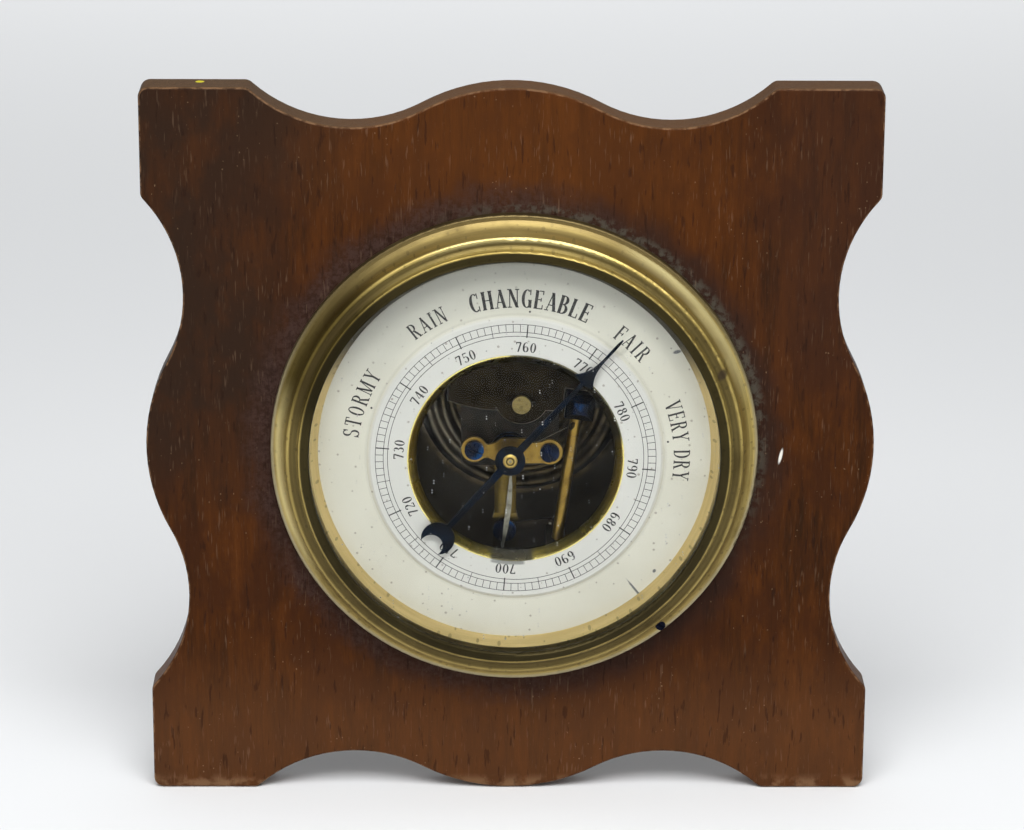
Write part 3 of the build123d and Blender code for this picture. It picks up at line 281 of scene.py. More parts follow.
def write(mesh, text, angle, radius, height, thick, gap, front, stretch=1.0):
    """Letters a height tall, set round the dial with their middle at an angle."""
    widths = [GLYPHS[letter][0] + gap for letter in text]
    wide = height * stretch
    along = -sum(widths) / 2
    for letter, width in zip(text, widths):
        turn = angle + degrees((along + width / 2) * wide / radius)
        centre = (width - gap) / 2
        for stroke in GLYPHS[letter][1]:
            for outline in strip_pairs(stroke_outline(stroke, thick)):
                corners = [on_circle(turn, radius + (z - 0.5) * height, (x - centre) * wide)
                           for x, z in outline]
                add_patch(mesh, corners, front)
        along += width


def label_angle(number):
    return TOP_LABEL_ANGLE + (number - LABEL_AT_TOP) * DEGREES_PER_DIVISION


def make_scale_lines():
    mesh = bmesh.new()
    for radius in SCALE_CIRCLES:
        add_ring(mesh, radius, CIRCLE_WIDTH, RAISED_FRONT)
    divisions = 360 // DEGREES_PER_DIVISION
    for number in range(FIRST_LABEL, FIRST_LABEL + divisions):
        start = SCALE_CIRCLES[1]
        width = TICK_WIDTH
        if number % LONG_TICK_EVERY == 0:
            start = SCALE_CIRCLES[0]
        if number % LABEL_EVERY == 0:
            start = SCALE_CIRCLES[0] - BOLD_TICK_EXTRA
            width = BOLD_TICK_WIDTH
        angle = label_angle(number)
        end = SCALE_CIRCLES[2]
        half = width / 2
        corners = [on_circle(angle, start, -half), on_circle(angle, end, -half),
                   on_circle(angle, end, half), on_circle(angle, start, half)]
        add_patch(mesh, corners, RAISED_FRONT)
    return printed("scale_lines", mesh)


def make_scale_figures():
    mesh = bmesh.new()
    for number in range(FIRST_LABEL, LAST_LABEL + 1, LABEL_EVERY):
        write(mesh, str(number), label_angle(number), LABEL_RADIUS, LABEL_HEIGHT, LABEL_STROKE, LABEL_GAP,
              RAISED_FRONT, LABEL_STRETCH)
    return printed("scale_figures", mesh)


def make_weather_words():
    mesh = bmesh.new()
    for word, angle, height, thick, gap in WORDS:
        write(mesh, word, angle, WORD_RADIUS, height, thick, gap, OUTER_FRONT)
    for angle in DOT_ANGLES:
        x, z = on_circle(angle, DOT_RADIUS)
        turns = [2 * pi * i / DOT_CORNERS for i in range(DOT_CORNERS)]
        corners = [(x + DOT_SIZE * cos(t), z + DOT_SIZE * sin(t)) for t in turns]
        add_patch(mesh, corners, OUTER_FRONT)
    return printed("weather_words", mesh)


# ---- the hand's chain: sizes in millimetres
CHAIN_LINKS = 30
LINK_CORNERS = 12            # points round a link
WIRE_CORNERS = 6             # and round its wire
CHAIN_REACH = 0.15           # from the CAD strand's middle line to its outside
LINK_HALF_WIDTH = 0.10
LINK_WIRE = 0.045
LINK_OVERLAP = 1.35          # a link's length over the distance to the next


def add_link(mesh, centre, along, flat, half_length):
    """One oval wire link, lying in the plane of two directions."""
    across = along.cross(flat)
    wire_turns = [2 * pi * j / WIRE_CORNERS for j in range(WIRE_CORNERS)]
    rings = []
    for i in range(LINK_CORNERS):
        turn = 2 * pi * i / LINK_CORNERS
        outward = along * cos(turn) + flat * sin(turn)
        middle_point = centre + (along * cos(turn) * half_length + flat * sin(turn) * LINK_HALF_WIDTH) * MM
        rings.append([mesh.verts.new(middle_point + (outward * cos(t) + across * sin(t)) * LINK_WIRE * MM)
                      for t in wire_turns])
    for i in range(LINK_CORNERS):
        near = rings[i]
        far = rings[(i + 1) % LINK_CORNERS]
        for j in range(WIRE_CORNERS):
            k = (j + 1) % WIRE_CORNERS
            mesh.faces.new((near[j], near[k], far[k], far[j]))


def make_chain():
    """Oval links from the hand's drum to the tip of the rocker's arm, in place of the CAD strand."""
    low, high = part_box("pointer_chain")
    reach = CHAIN_REACH * MM
    start = Vector((low.x + reach, high.y - reach, low.z + reach))
    end = Vector((high.x - reach, low.y + reach, high.z - reach))
    along = (end - start).normalized()
    side = along.cross(Vector((0, 1, 0))).normalized()
    half_length = (end - start).length / MM / CHAIN_LINKS / 2 * LINK_OVERLAP
    mesh = bmesh.new()
    for i in range(CHAIN_LINKS):
        flat = side if i % 2 else along.cross(side)
        add_link(mesh, start.lerp(end, (i + 0.5) / CHAIN_LINKS), along, flat, half_length)
    bmesh.ops.recalc_face_normals(mesh, faces=mesh.faces)
    chain = to_object("chain_links", mesh)
    chain.data.shade_smooth()
    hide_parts("pointer_chain")
    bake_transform(chain)
    return chain


# ---- procedural materials
class Nodes:
    """Short calls that add nodes to a tree and give back their outputs."""

    def __init__(self, tree):
        self.tree = tree

    def feed(self, socket, value):
        """Links an output to a socket, or sets the socket to a constant."""
        if isinstance(value, bpy.types.NodeSocket):
            self.tree.links.new(value, socket)
        elif isinstance(value, tuple) and len(value) == 3 and socket.type == "RGBA":
            socket.default_value = (*value, 1)
        else:
            socket.default_value = value

    def maths(self, operation, *values):
        node = self.tree.nodes.new("ShaderNodeMath")
        node.operation = operation
        for socket, value in zip(node.inputs, values):
            self.feed(socket, value)
        return node.outputs[0]

    def add(self, *values):
        total = values[0]
        for value in values[1:]:
            total = self.maths("ADD", total, value)
        return total

    def times(self, *values):
        total = values[0]
        for value in values[1:]:
            total = self.maths("MULTIPLY", total, value)
        return total

    def vector(self, operation, first, second):
        node = self.tree.nodes.new("ShaderNodeVectorMath")
        node.operation = operation
        self.feed(node.inputs[0], first)
        self.feed(node.inputs["Scale" if operation == "SCALE" else 1], second)
        return node.outputs["Value" if operation == "DISTANCE" else "Vector"]

    def axes(self, vector):
        node = self.tree.nodes.new("ShaderNodeSeparateXYZ")
        self.feed(node.inputs[0], vector)
        return tuple(node.outputs)

    def joined(self, x, y, z):
        node = self.tree.nodes.new("ShaderNodeCombineXYZ")
        for socket, value in zip(node.inputs, (x, y, z)):
            self.feed(socket, value)
        return node.outputs[0]

    def normal(self):
        return self.axes(self.tree.nodes.new("ShaderNodeNewGeometry").outputs["Normal"])

    def fade(self, value, start, end, low=0.0, high=1.0):
        """Goes smoothly from low to high as the value goes from start to end."""
        node = self.tree.nodes.new("ShaderNodeMapRange")
        node.interpolation_type = "SMOOTHSTEP"
        for socket, given in zip(node.inputs, (value, start, end, low, high)):
            self.feed(socket, given)
        return node.outputs[0]

    def mix(self, share, first, second):
        """The first colour at a share of 0, and the second at 1."""
        node = self.tree.nodes.new("ShaderNodeMix")
        node.data_type = "RGBA"
        self.feed(node.inputs[0], share)
        self.feed(node.inputs[6], first)
        self.feed(node.inputs[7], second)
        return node.outputs[2]


LEAST_RADIUS = 0.001         # keeps the division by a radius finite on the axis
DEPTH_SHARE = 0.8            # how much a step along the axis counts beside a step outward


class Paint(Nodes):
    """The nodes of one material. Lengths inside it are millimetres."""

    def __init__(self, name, metallic=0.0, roughness=0.5, shine=0.5):
        self.material = bpy.data.materials.new(name)
        self.material.use_nodes = True
        super().__init__(self.material.node_tree)
        self.shader = self.tree.nodes["Principled BSDF"]
        self.shader.inputs["Metallic"].default_value = metallic
        self.shader.inputs["Roughness"].default_value = roughness
        self.shader.inputs["Specular IOR Level"].default_value = shine
        place = self.tree.nodes.new("ShaderNodeTexCoord").outputs["Object"]
        self.point = self.vector("SCALE", place, 1 / MM)

    def noise(self, stretch, detail=3.0, roughness=0.5, bend=0.0, seed=0.0, point=None):
        """Noise with so many cycles to the millimetre along X, Y and Z."""
        if not isinstance(stretch, tuple):
            stretch = (stretch, stretch, stretch)
        place = self.vector("MULTIPLY", point or self.point, stretch)
        place = self.vector("ADD", place, (seed, seed * 0.7, seed * 1.3))
        node = self.tree.nodes.new("ShaderNodeTexNoise")
        self.feed(node.inputs["Vector"], place)
        node.inputs["Scale"].default_value = 1
        node.inputs["Detail"].default_value = detail
        node.inputs["Roughness"].default_value = roughness
        node.inputs["Distortion"].default_value = bend
        return node.outputs[0]

    def specks(self, spacing, size, seed=0.0, stretch=1.0):
        """1 inside spots scattered over the front, one to each cell of a spacing. Their radii go up to a
        size, and a stretch makes them taller."""
        node = self.tree.nodes.new("ShaderNodeTexVoronoi")
        node.voronoi_dimensions = "2D"
        x, _, z = self.axes(self.point)
        z = self.times(z, 1 / stretch)
        self.feed(node.inputs["Vector"], self.joined(self.add(x, seed), self.add(z, seed), 0.0))
        node.inputs["Scale"].default_value = 1 / spacing
        reach = self.times(self.axes(node.outputs["Color"])[0], size / spacing)
        return self.maths("LESS_THAN", node.outputs["Distance"], reach)

    def round_axis(self, centre):
        """The distance from a Y axis, and a place for noise that runs round the axis without a seam."""
        x, y, z = self.axes(self.point)
        x = self.maths("SUBTRACT", x, centre.x / MM)
        z = self.maths("SUBTRACT", z, centre.z / MM)
        radius = self.maths("SQRT", self.add(self.times(x, x), self.times(z, z)))
        inverse = self.maths("DIVIDE", 1.0, self.maths("MAXIMUM", radius, LEAST_RADIUS))
        profile = self.add(radius, self.times(y, DEPTH_SHARE))
        return radius, self.joined(self.times(x, inverse), profile, self.times(z, inverse))

    def spot(self, centre, x, z, half_length, half_width, turn=0.0, soft=0.35):
        """1 inside a long spot placed in millimetres from a centre, turned clockwise from upright."""
        px, _, pz = self.axes(self.point)
        dx = self.maths("SUBTRACT", px, centre.x / MM + x)
        dz = self.maths("SUBTRACT", pz, centre.z / MM + z)
        sine = sin(radians(turn))
        cosine = cos(radians(turn))
        along = self.add(self.times(dx, sine / half_length), self.times(dz, cosine / half_length))
        across = self.add(self.times(dx, cosine / half_width), self.times(dz, -sine / half_width))
        reach = self.maths("SQRT", self.add(self.times(along, along), self.times(across, across)))
        return self.fade(reach, 1 + soft, 1 - soft)

    def finish(self, color, roughness, height, depth, strength):
        """Connects colour, roughness and a bump of a depth in millimetres."""
        self.feed(self.shader.inputs["Base Color"], color)
        self.feed(self.shader.inputs["Roughness"], roughness)
        bump = self.tree.nodes.new("ShaderNodeBump")
        bump.inputs["Strength"].default_value = strength
        bump.inputs["Distance"].default_value = depth * MM
        self.feed(bump.inputs["Height"], height)
        self.feed(self.shader.inputs["Normal"], bump.outputs[0])
        return self.material


def toward(paint, centre, angle, start, end):
    """1 round a direction seen from a centre, clockwise from the top, fading between two cosines."""
    x, _, z = paint.axes(paint.vector("SUBTRACT", paint.point, tuple(centre / MM)))
    reach = paint.maths("SQRT", paint.add(paint.times(x, x), paint.times(z, z)))
    along = paint.add(paint.times(x, sin(radians(angle))), paint.times(z, cos(radians(angle))))
    return paint.fade(paint.maths("DIVIDE", along, reach), start, end)


# ---- the board's wood, one layer after another
WOOD_DARK = (0.026, 0.0100, 0.0038)
WOOD_RICH = (0.064, 0.0195, 0.0046)
WOOD_WARM = (0.105, 0.034, 0.0078)
WOOD_RUBBED = (0.26, 0.145, 0.075)
WOOD_PITS = (0.016, 0.007, 0.0045)
GRIME_COLOR = (0.024, 0.013, 0.010)

# The yellow speck on the board's top edge, in millimetres
TOP_SPECK = (-78.3, BOARD_FRONT / MM + 6.5, BOARD_HIGH.z / MM)


def stain_board(wood, color, x, z, blotch):
    """Dark blotches, a black stain on the upper left, a brown one on the right, warmer wood above the case,
    and painted bounce light towards the bottom.
    """
    broad = wood.noise((0.035, 0.035, 0.012), detail=2)
    color = wood.mix(wood.fade(blotch, 0.46, 0.60, 0, 0.7), color, (0.034, 0.0115, 0.0045))
    left = wood.times(wood.fade(x, -46, -70), wood.fade(z, 66, 104))
    corner = wood.times(wood.fade(x, -30, -60), wood.fade(z, 150, 172))
    stain = wood.maths("MAXIMUM", left, corner)
    stain = wood.times(stain, wood.fade(broad, 0.28, 0.5, 0.5, 0.92), wood.fade(blotch, 0.36, 0.58, 0.6, 1))
    color = wood.mix(stain, color, (0.024, 0.0130, 0.0080))
    right = wood.times(wood.fade(x, 52, 78), wood.fade(z, 96, 130), 0.5)
    color = wood.mix(right, color, (0.034, 0.015, 0.009))
    above = wood.times(wood.spot(CASE, -2, 78, 22, 48, soft=0.6), 0.35)
    color = wood.mix(above, color, WOOD_WARM)
    # Painted light: lighter, warmer wood towards the bottom, standing in for light bounced from the floor.
    below = wood.times(wood.fade(z, 46, 14), 0.4)
    return wood.mix(below, color, (0.125, 0.052, 0.021))


def soil_round_bezel(wood, color, x):
    """Grime round the bezel, powdery on the left and crusted on the upper right. Gives the grime too."""
    reach, _ = wood.round_axis(CASE)
    uneven = wood.times(wood.noise(0.12, seed=3), -9)
    grime = wood.fade(wood.add(reach, uneven), 68, 58.5)
    color = wood.mix(wood.times(grime, 0.8), color, GRIME_COLOR)
    powder = wood.times(grime, wood.fade(wood.noise(0.9, detail=5, roughness=0.7, seed=61), 0.36, 0.66))
    powder = wood.times(powder, wood.fade(x, 45, -10, 0.1, 1))
    color = wood.mix(wood.times(powder, 0.5), color, (0.072, 0.041, 0.034))
    crumbs = wood.fade(wood.noise(0.5, detail=5, roughness=0.65, seed=83), 0.44, 0.58)
    crust = wood.times(wood.fade(reach, 66.0, 63.4), toward(wood, CASE, 48, 0.2, 0.9), crumbs)
    color = wood.mix(wood.times(crust, 0.65), color, (0.085, 0.078, 0.060))
    return color, grime


def fill_pores(wood, color):
    """Pale dust in some pores, pale flecks and dark pits. Gives the pits too."""
    pores = wood.noise((2.4, 2.4, 0.22), detail=1.5, roughness=0.5, seed=17)
    dusty = wood.fade(wood.noise(0.05, seed=23), 0.42, 0.6, 0.25, 1)
    dust = wood.times(wood.fade(pores, 0.63, 0.74), dusty)
    color = wood.mix(wood.times(dust, 0.16), color, (0.30, 0.19, 0.12))
    small = wood.specks(3.1, 0.15, seed=6, stretch=1.7)
    large = wood.specks(7.0, 0.22, seed=9)
    flecked = wood.fade(wood.noise(0.06, seed=51), 0.50, 0.64, 0.1, 1)
    flecks = wood.times(wood.maths("MAXIMUM", small, large), flecked)
    color = wood.mix(wood.times(flecks, 0.35), color, (0.32, 0.21, 0.12))
    pits = wood.fade(wood.noise((0.95, 0.95, 0.15), detail=2.5, seed=31), 0.385, 0.30)
    color = wood.mix(wood.times(pits, 0.5), color, WOOD_PITS)
    return color, pits


def wear_board(wood, color, z, fibre):
    """Rubbed edges, a scuffed foot and a pale top edge. Gives the rubbed share too."""
    _, facing, up = wood.normal()
    side = wood.maths("ABSOLUTE", facing)
    rounded = wood.times(wood.fade(side, 0.15, 0.45), wood.fade(side, 0.97, 0.80))
    wear = wood.times(rounded, wood.fade(wood.noise(0.35, detail=5, roughness=0.65, seed=41), 0.42, 0.60))
    color = wood.mix(wood.times(wear, 0.6), color, WOOD_RUBBED)
    scuffs = wood.times(wood.fade(z, 4.5, 0.8), wood.fade(wood.noise(0.22, detail=5, seed=71), 0.45, 0.62))
    color = wood.mix(wood.times(scuffs, 0.6), color, (0.24, 0.135, 0.07))
    top = wood.times(wood.fade(up, 0.5, 0.8), wood.fade(fibre, 0.3, 0.7, 0.35, 0.75))
    color = wood.mix(top, color, (0.13, 0.075, 0.038))
    return color, wear


def mark_board(wood, color):
    """A white nick on the front, right of the bezel, and a yellow speck on the top edge."""
    _, facing, _ = wood.normal()
    nick = wood.spot(BOARD_LOW.lerp(BOARD_HIGH, 0.5), 69.5, -2.2, 1.9, 0.38, 12)
    color = wood.mix(wood.times(nick, wood.fade(facing, 0, -0.5)), color, (0.75, 0.72, 0.66))
    away = wood.vector("DISTANCE", wood.point, TOP_SPECK)
    return wood.mix(wood.fade(away, 1.3, 0.9), color, (0.55, 0.48, 0.03))


def mahogany():
    """Old varnished mahogany with upright grain, a dirty ring round the bezel and worn pale edges."""
    wood = Paint("mahogany", shine=0.035)
    x, _, z = wood.axes(wood.point)
    blotch = wood.noise((0.07, 0.07, 0.045), detail=5, roughness=0.6, seed=37)
    figure = wood.noise((0.16, 0.16, 0.022), detail=5, roughness=0.6, bend=0.9)
    streaks = wood.noise((0.7, 0.7, 0.06), detail=3, roughness=0.6, bend=0.4, seed=4)
    fibre = wood.noise((2.6, 2.6, 0.20), detail=3, roughness=0.65, bend=0.3, seed=9)
    tone = wood.add(wood.times(figure, 0.40), wood.times(streaks, 0.26), wood.times(fibre, 0.18),
                    wood.times(blotch, 0.16))
    color = wood.mix(wood.fade(tone, 0.36, 0.56), WOOD_DARK, WOOD_RICH)
    color = wood.mix(wood.fade(tone, 0.52, 0.70, 0, 0.8), color, WOOD_WARM)
    color = stain_board(wood, color, x, z, blotch)
    color, grime = soil_round_bezel(wood, color, x)
    color, pits = fill_pores(wood, color)
    color, wear = wear_board(wood, color, z, fibre)
    color = mark_board(wood, color)
    roughness = wood.add(wood.fade(tone, 0.3, 0.7, 0.30, 0.46), wood.times(grime, 0.2), wood.times(wear, 0.2))
    height = wood.add(wood.times(fibre, 0.5), wood.times(pits, -0.9), wood.times(streaks, 0.2))
    return wood.finish(color, roughness, height, depth=0.10, strength=0.6)


# ---- brass, steel and the rest
def turned_brass(name, clean, tarnish, amount, centre, roughness):
    """Lathe-turned brass with fine rings, drifting tarnish and small dark spots, not yet finished."""
    brass = Paint(name, metallic=1.0)
    _, around = brass.round_axis(centre)
    fine = brass.noise((2.0, 2.2, 2.0), detail=3, roughness=0.6, point=around)
    wide = brass.noise((1.3, 0.45, 1.3), detail=3, roughness=0.6, seed=7, point=around)
    cloud = brass.noise(0.09, detail=4, roughness=0.6, seed=2)
    tarnish_and_shade = brass.fade(brass.add(brass.times(cloud, 0.6), brass.times(wide, 0.4)), 0.62 - amount / 2, 0.75)
    color = brass.mix(tarnish_and_shade, clean, tarnish)
    color = brass.mix(brass.fade(fine, 0.35, 0.65, 0.35, 0), color, tarnish)
    spots = brass.specks(2.6, 0.5, seed=5)
    color = brass.mix(brass.times(spots, 0.35), color, (0.05, 0.035, 0.02))
    rough = brass.add(brass.fade(tarnish_and_shade, 0, 1, roughness, roughness + 0.2), brass.times(fine, 0.08))
    height = brass.add(brass.times(fine, 1.0), brass.times(wide, 0.5), brass.times(spots, -0.4))
    return brass, color, rough, height


HIGHLIGHT_BANDS = [             # painted highlights on the bezel: angle of the middle, inner radius, outer radius, strength
    (0, 57.2, 58.9, 0.3),
    (52, 58.9, 61.2, 0.6),
    (262, 58.9, 61.2, 0.5),
]
BAND_SOFT = 0.4              # half the width over which a highlight band's edges fade


def bezel_brass():
    """The bezel: turned brass, browner in the groove, with painted shade on its lip, over its top and below,
    and painted highlight bands.
    """
    clean = (0.60, 0.46, 0.15)
    tarnish = (0.25, 0.185, 0.055)
    brass, color, rough, height = turned_brass("aged_brass", clean, tarnish, 0.45, CASE, 0.42)
    radius, _ = brass.round_axis(CASE)
    # Painted shade: darker towards the bottom.
    color = brass.mix(brass.times(toward(brass, CASE, 180, -0.5, 0.6), 0.45), color, (0.15, 0.11, 0.05))
    # Darker in a narrow sector at the upper left.
    color = brass.mix(brass.times(toward(brass, CASE, 301, 0.90, 0.985), 0.85), color, (0.08, 0.055, 0.012))
    groove = brass.times(brass.fade(radius, 58.0, 57.2), brass.fade(radius, 55.2, 56.0))
    color = brass.mix(brass.times(groove, 0.80), color, (0.055, 0.040, 0.017))
    # Painted shade: the lip is painted near-black, standing in for the dark reflection it shows.
    lip = brass.fade(radius, 55.0, 54.5)
    color = brass.mix(brass.times(lip, 0.93), color, (0.018, 0.015, 0.008))
    # Painted shade: the rim's outer rounding is darker over the top and paler towards the bottom.
    foot = brass.fade(radius, 61.2, 62.2)
    foot_color = brass.mix(toward(brass, CASE, 180, -0.9, 0.3), (0.14, 0.11, 0.05), (0.42, 0.36, 0.22))
    color = brass.mix(foot, color, foot_color)
    # Painted shade: the crown of the rim and the cove are darker over the top, to tone down the top light's
    # reflection there.
    crown = brass.times(brass.fade(radius, 60.0, 61.0), toward(brass, CASE, 0, 0.2, 0.95))
    color = brass.mix(brass.times(crown, 0.7), color, (0.15, 0.11, 0.04))
    tarnish_and_shade = brass.times(brass.fade(radius, 58.6, 59.4), toward(brass, CASE, 0, 0.2, 0.95))
    color = brass.mix(brass.times(tarnish_and_shade, 0.5), color, (0.22, 0.165, 0.075))
    # Painted highlights: bright bands on the bead and cove, where the top light's reflection falls.
    for angle, inner, outer, polish_and_highlight in HIGHLIGHT_BANDS:
        past_inner = brass.fade(radius, inner - BAND_SOFT, inner + BAND_SOFT)
        short_of_outer = brass.fade(radius, outer + BAND_SOFT, outer - BAND_SOFT)
        band = brass.times(past_inner, short_of_outer)
        highlight = brass.times(toward(brass, CASE, angle, 0.88, 0.99), band)
        color = brass.mix(brass.times(highlight, polish_and_highlight), color, (0.97, 0.85, 0.43))
    big = brass.spot(CASE, 52.5, 22.5, 1.5, 1.1, 30)
    color = brass.mix(brass.times(big, 0.8), color, (0.05, 0.035, 0.025))
    return brass.finish(color, rough, height, depth=0.012, strength=0.7)


def reflector_brass():
    """The bright bevel under the glass, with painted shade round its top."""
    clean = (0.86, 0.68, 0.34)
    tarnish = (0.55, 0.41, 0.17)
    brass, color, rough, height = turned_brass("gilt_reflector", clean, tarnish, 0.1, CASE, 0.36)
    # Painted shade: near-black round the top, where the bezel's lip shades the bevel.
    shade = toward(brass, CASE, 0, 0.30, 0.62)
    color = brass.mix(brass.times(shade, 0.97), color, (0.020, 0.017, 0.009))
    return brass.finish(color, rough, height, depth=0.008, strength=0.5)


def plain_brass(name, clean, tarnish, amount, centre, roughness):
    """Turned brass with nothing more on it."""
    brass, color, rough, height = turned_brass(name, clean, tarnish, amount, centre, roughness)
    return brass.finish(color, rough, height, depth=0.008, strength=0.5)


def sight_ring_brass():
    """The bevel round the dial's opening: a painted highlight line near its rim, matt grey on its upper right
    and a grey worn patch at its foot.
    """
    clean = (0.46, 0.36, 0.075)
    tarnish = (0.20, 0.15, 0.04)
    brass, color, rough, height = turned_brass("gilt_bevel", clean, tarnish, 0.3, DIAL, 0.22)
    radius, _ = brass.round_axis(DIAL)
    # Painted highlight: a bright gold line near the rim.
    wander = brass.times(brass.noise(0.10, detail=2, seed=4), 1.6)
    line = brass.fade(brass.add(radius, wander), 27.7, 28.1)
    color = brass.mix(line, color, (0.98, 0.80, 0.27))
    color = brass.mix(brass.times(brass.fade(radius, 26.4, 25.7), 0.7), color, (0.07, 0.055, 0.02))
    # Grey over the upper right; a grey worn patch at the foot.
    grey_upper_right = toward(brass, DIAL, 38, 0.70, 0.80)
    worn_foot = toward(brass, DIAL, 182, 0.975, 0.985)
    worn = brass.maths("MAXIMUM", grey_upper_right, worn_foot)
    color = brass.mix(brass.times(worn, 0.88), color, (0.085, 0.082, 0.075))
    return brass.finish(color, rough, height, depth=0.008, strength=0.5)


def lever_brass():
    """The main lever: brown-stained brass, near-black below its screw."""
    clean = (0.19, 0.13, 0.030)
    tarnish = (0.10, 0.065, 0.018)
    brass, color, rough, height = turned_brass("lever_brass", clean, tarnish, 0.3, HUB, 0.36)
    _, _, z = brass.axes(brass.point)
    # Darker below the screw.
    dark_below_screw = brass.fade(z, HUB.z / MM - 19.0, HUB.z / MM - 20.5)
    color = brass.mix(brass.times(dark_below_screw, 0.85), color, (0.016, 0.013, 0.010))
    return brass.finish(color, rough, height, depth=0.008, strength=0.5)


def spring_steel():
    """Dark tempered steel with a painted highlight line along its bevelled front edges."""
    steel = Paint("spring_steel", metallic=1.0)
    cloud = steel.noise(0.3, detail=4, roughness=0.6)
    scratches = steel.noise((0.4, 6, 6), detail=3, roughness=0.7, seed=3)
    color = steel.mix(steel.fade(cloud, 0.42, 0.68), (0.022, 0.016, 0.009), (0.011, 0.008, 0.0045))
    facing = steel.maths("ABSOLUTE", steel.normal()[1])
    edge = steel.times(steel.fade(facing, 0.3, 0.6), steel.fade(facing, 0.95, 0.85))
    # Painted highlight: a bright line on the bevelled faces.
    color = steel.mix(steel.times(edge, 0.9), color, (0.62, 0.57, 0.45))
    rough = steel.add(steel.fade(cloud, 0.3, 0.7, 0.34, 0.48), steel.times(scratches, 0.1))
    return steel.finish(color, rough, scratches, depth=0.006, strength=0.4)


def bush_brass():
    """The hand's turned bush, with a dark groove between its rim and its bore."""
    clean = (0.66, 0.47, 0.14)
    tarnish = (0.30, 0.20, 0.07)
    brass, color, rough, height = turned_brass("bush_brass", clean, tarnish, 0.2, HUB, 0.28)
    radius, _ = brass.round_axis(HUB)
    groove = brass.times(brass.fade(radius, 1.25, 1.05), brass.fade(radius, 0.62, 0.78))
    color = brass.mix(brass.times(groove, 0.9), color, (0.03, 0.02, 0.01))
    return brass.finish(color, rough, height, depth=0.008, strength=0.5)


def machined_steel(name, clean, stained):
    """Steel turned and scratched, clouded with stains."""
    steel = Paint(name, metallic=1.0)
    cloud = steel.noise(0.5, detail=4, roughness=0.6)
    scratches = steel.noise((0.4, 6, 6), detail=3, roughness=0.7, seed=3)
    color = steel.mix(steel.fade(cloud, 0.42, 0.68), clean, stained)
    rough = steel.add(steel.fade(cloud, 0.3, 0.7, 0.3, 0.45), steel.times(scratches, 0.1))
    return steel.finish(color, rough, scratches, depth=0.006, strength=0.4)


def dial_coating():
    """Matt ivory dial, cooler in its raised middle, with a painted shadow line along its step and painted
    shade over its top, with chips, a crack and a worn patch.
    """
    dial = Paint("dial_coating", roughness=0.55)
    radius, _ = dial.round_axis(DIAL)
    cloud = dial.noise(0.05, detail=3, seed=1)
    grain = dial.noise(1.6, detail=3, seed=8)
    ivory = dial.mix(dial.fade(cloud, 0.3, 0.7), (0.80, 0.765, 0.665), (0.735, 0.70, 0.60))
    cool = dial.mix(dial.fade(cloud, 0.3, 0.7), (0.79, 0.765, 0.725), (0.745, 0.725, 0.69))
    color = dial.mix(dial.fade(radius, RAISED_RADIUS + 0.4, RAISED_RADIUS - 0.4), ivory, cool)
    # Painted shadow: a faint grey line along the step.
    line = dial.times(dial.fade(radius, 37.9, 38.3), dial.fade(radius, 39.0, 38.4))
    color = dial.mix(dial.times(line, 0.25), color, (0.45, 0.42, 0.36))
    color = dial.mix(dial.fade(grain, 0.62, 0.8, 0, 0.25), color, (0.55, 0.50, 0.42))
    flecks = dial.specks(4.5, 0.35, seed=3)
    color = dial.mix(dial.times(flecks, 0.55), color, (0.25, 0.20, 0.15))
    worn = dial.times(toward(dial, DIAL, 184, 0.986, 0.991), dial.fade(radius, 29.0, 28.5))
    color = dial.mix(dial.times(worn, 0.85), color, (0.24, 0.24, 0.225))
    # Painted shade: greyer over the top, where the bezel's lip shades the dial.
    painted_top_shade = dial.times(toward(dial, DIAL, 345, 0.45, 0.95), dial.fade(radius, 36, 44))
    color = dial.mix(dial.times(painted_top_shade, 0.5), color, (0.46, 0.45, 0.41))
    chip = dial.spot(DIAL, 40.9, 28.5, 1.0, 0.45, 75)
    tiny = dial.spot(DIAL, 36.0, -30.7, 0.5, 0.4, 30)
    crack = dial.spot(DIAL, 31.4, -36.2, 3.6, 0.28, -38)
    for mark in (chip, tiny, crack):
        color = dial.mix(dial.times(mark, 0.9), color, (0.10, 0.11, 0.12))
    rim = dial.fade(dial.add(radius, dial.times(cloud, 1.5)), 51.6, 52.8)
    color = dial.mix(dial.times(rim, 0.5), color, (0.40, 0.34, 0.24))
    height = dial.add(grain, dial.times(worn, -2.0))
    return dial.finish(color, dial.fade(grain, 0.3, 0.7, 0.45, 0.6), height, depth=0.01, strength=0.4)


def ink():
    """Black print with slightly uneven cover."""
    black = Paint("dial_ink", roughness=0.6)
    thin = black.noise(1.3, detail=4, roughness=0.7)
    color = black.mix(black.fade(thin, 0.45, 0.75), (0.022, 0.021, 0.022), (0.11, 0.10, 0.095))
    return black.finish(color, black.fade(thin, 0.3, 0.7, 0.5, 0.7), thin, depth=0.004, strength=0.4)


def blued_steel():
    """Heat-blued steel, nearly black with deep blue patches."""
    blue = Paint("blued_steel", metallic=1.0)
    cloud = blue.noise(0.35, detail=3, seed=6)
    polish_and_highlight = blue.noise((5, 5, 0.6), detail=3, roughness=0.6)
    color = blue.mix(blue.fade(cloud, 0.36, 0.60), (0.006, 0.014, 0.040), (0.006, 0.007, 0.014))
    bright = blue.fade(blue.noise(0.16, detail=2, seed=14), 0.54, 0.66)
    color = blue.mix(blue.times(bright, 0.8), color, (0.008, 0.060, 0.19))
    rough = blue.fade(polish_and_highlight, 0.3, 0.7, 0.24, 0.36)
    return blue.finish(color, rough, polish_and_highlight, depth=0.004, strength=0.15)


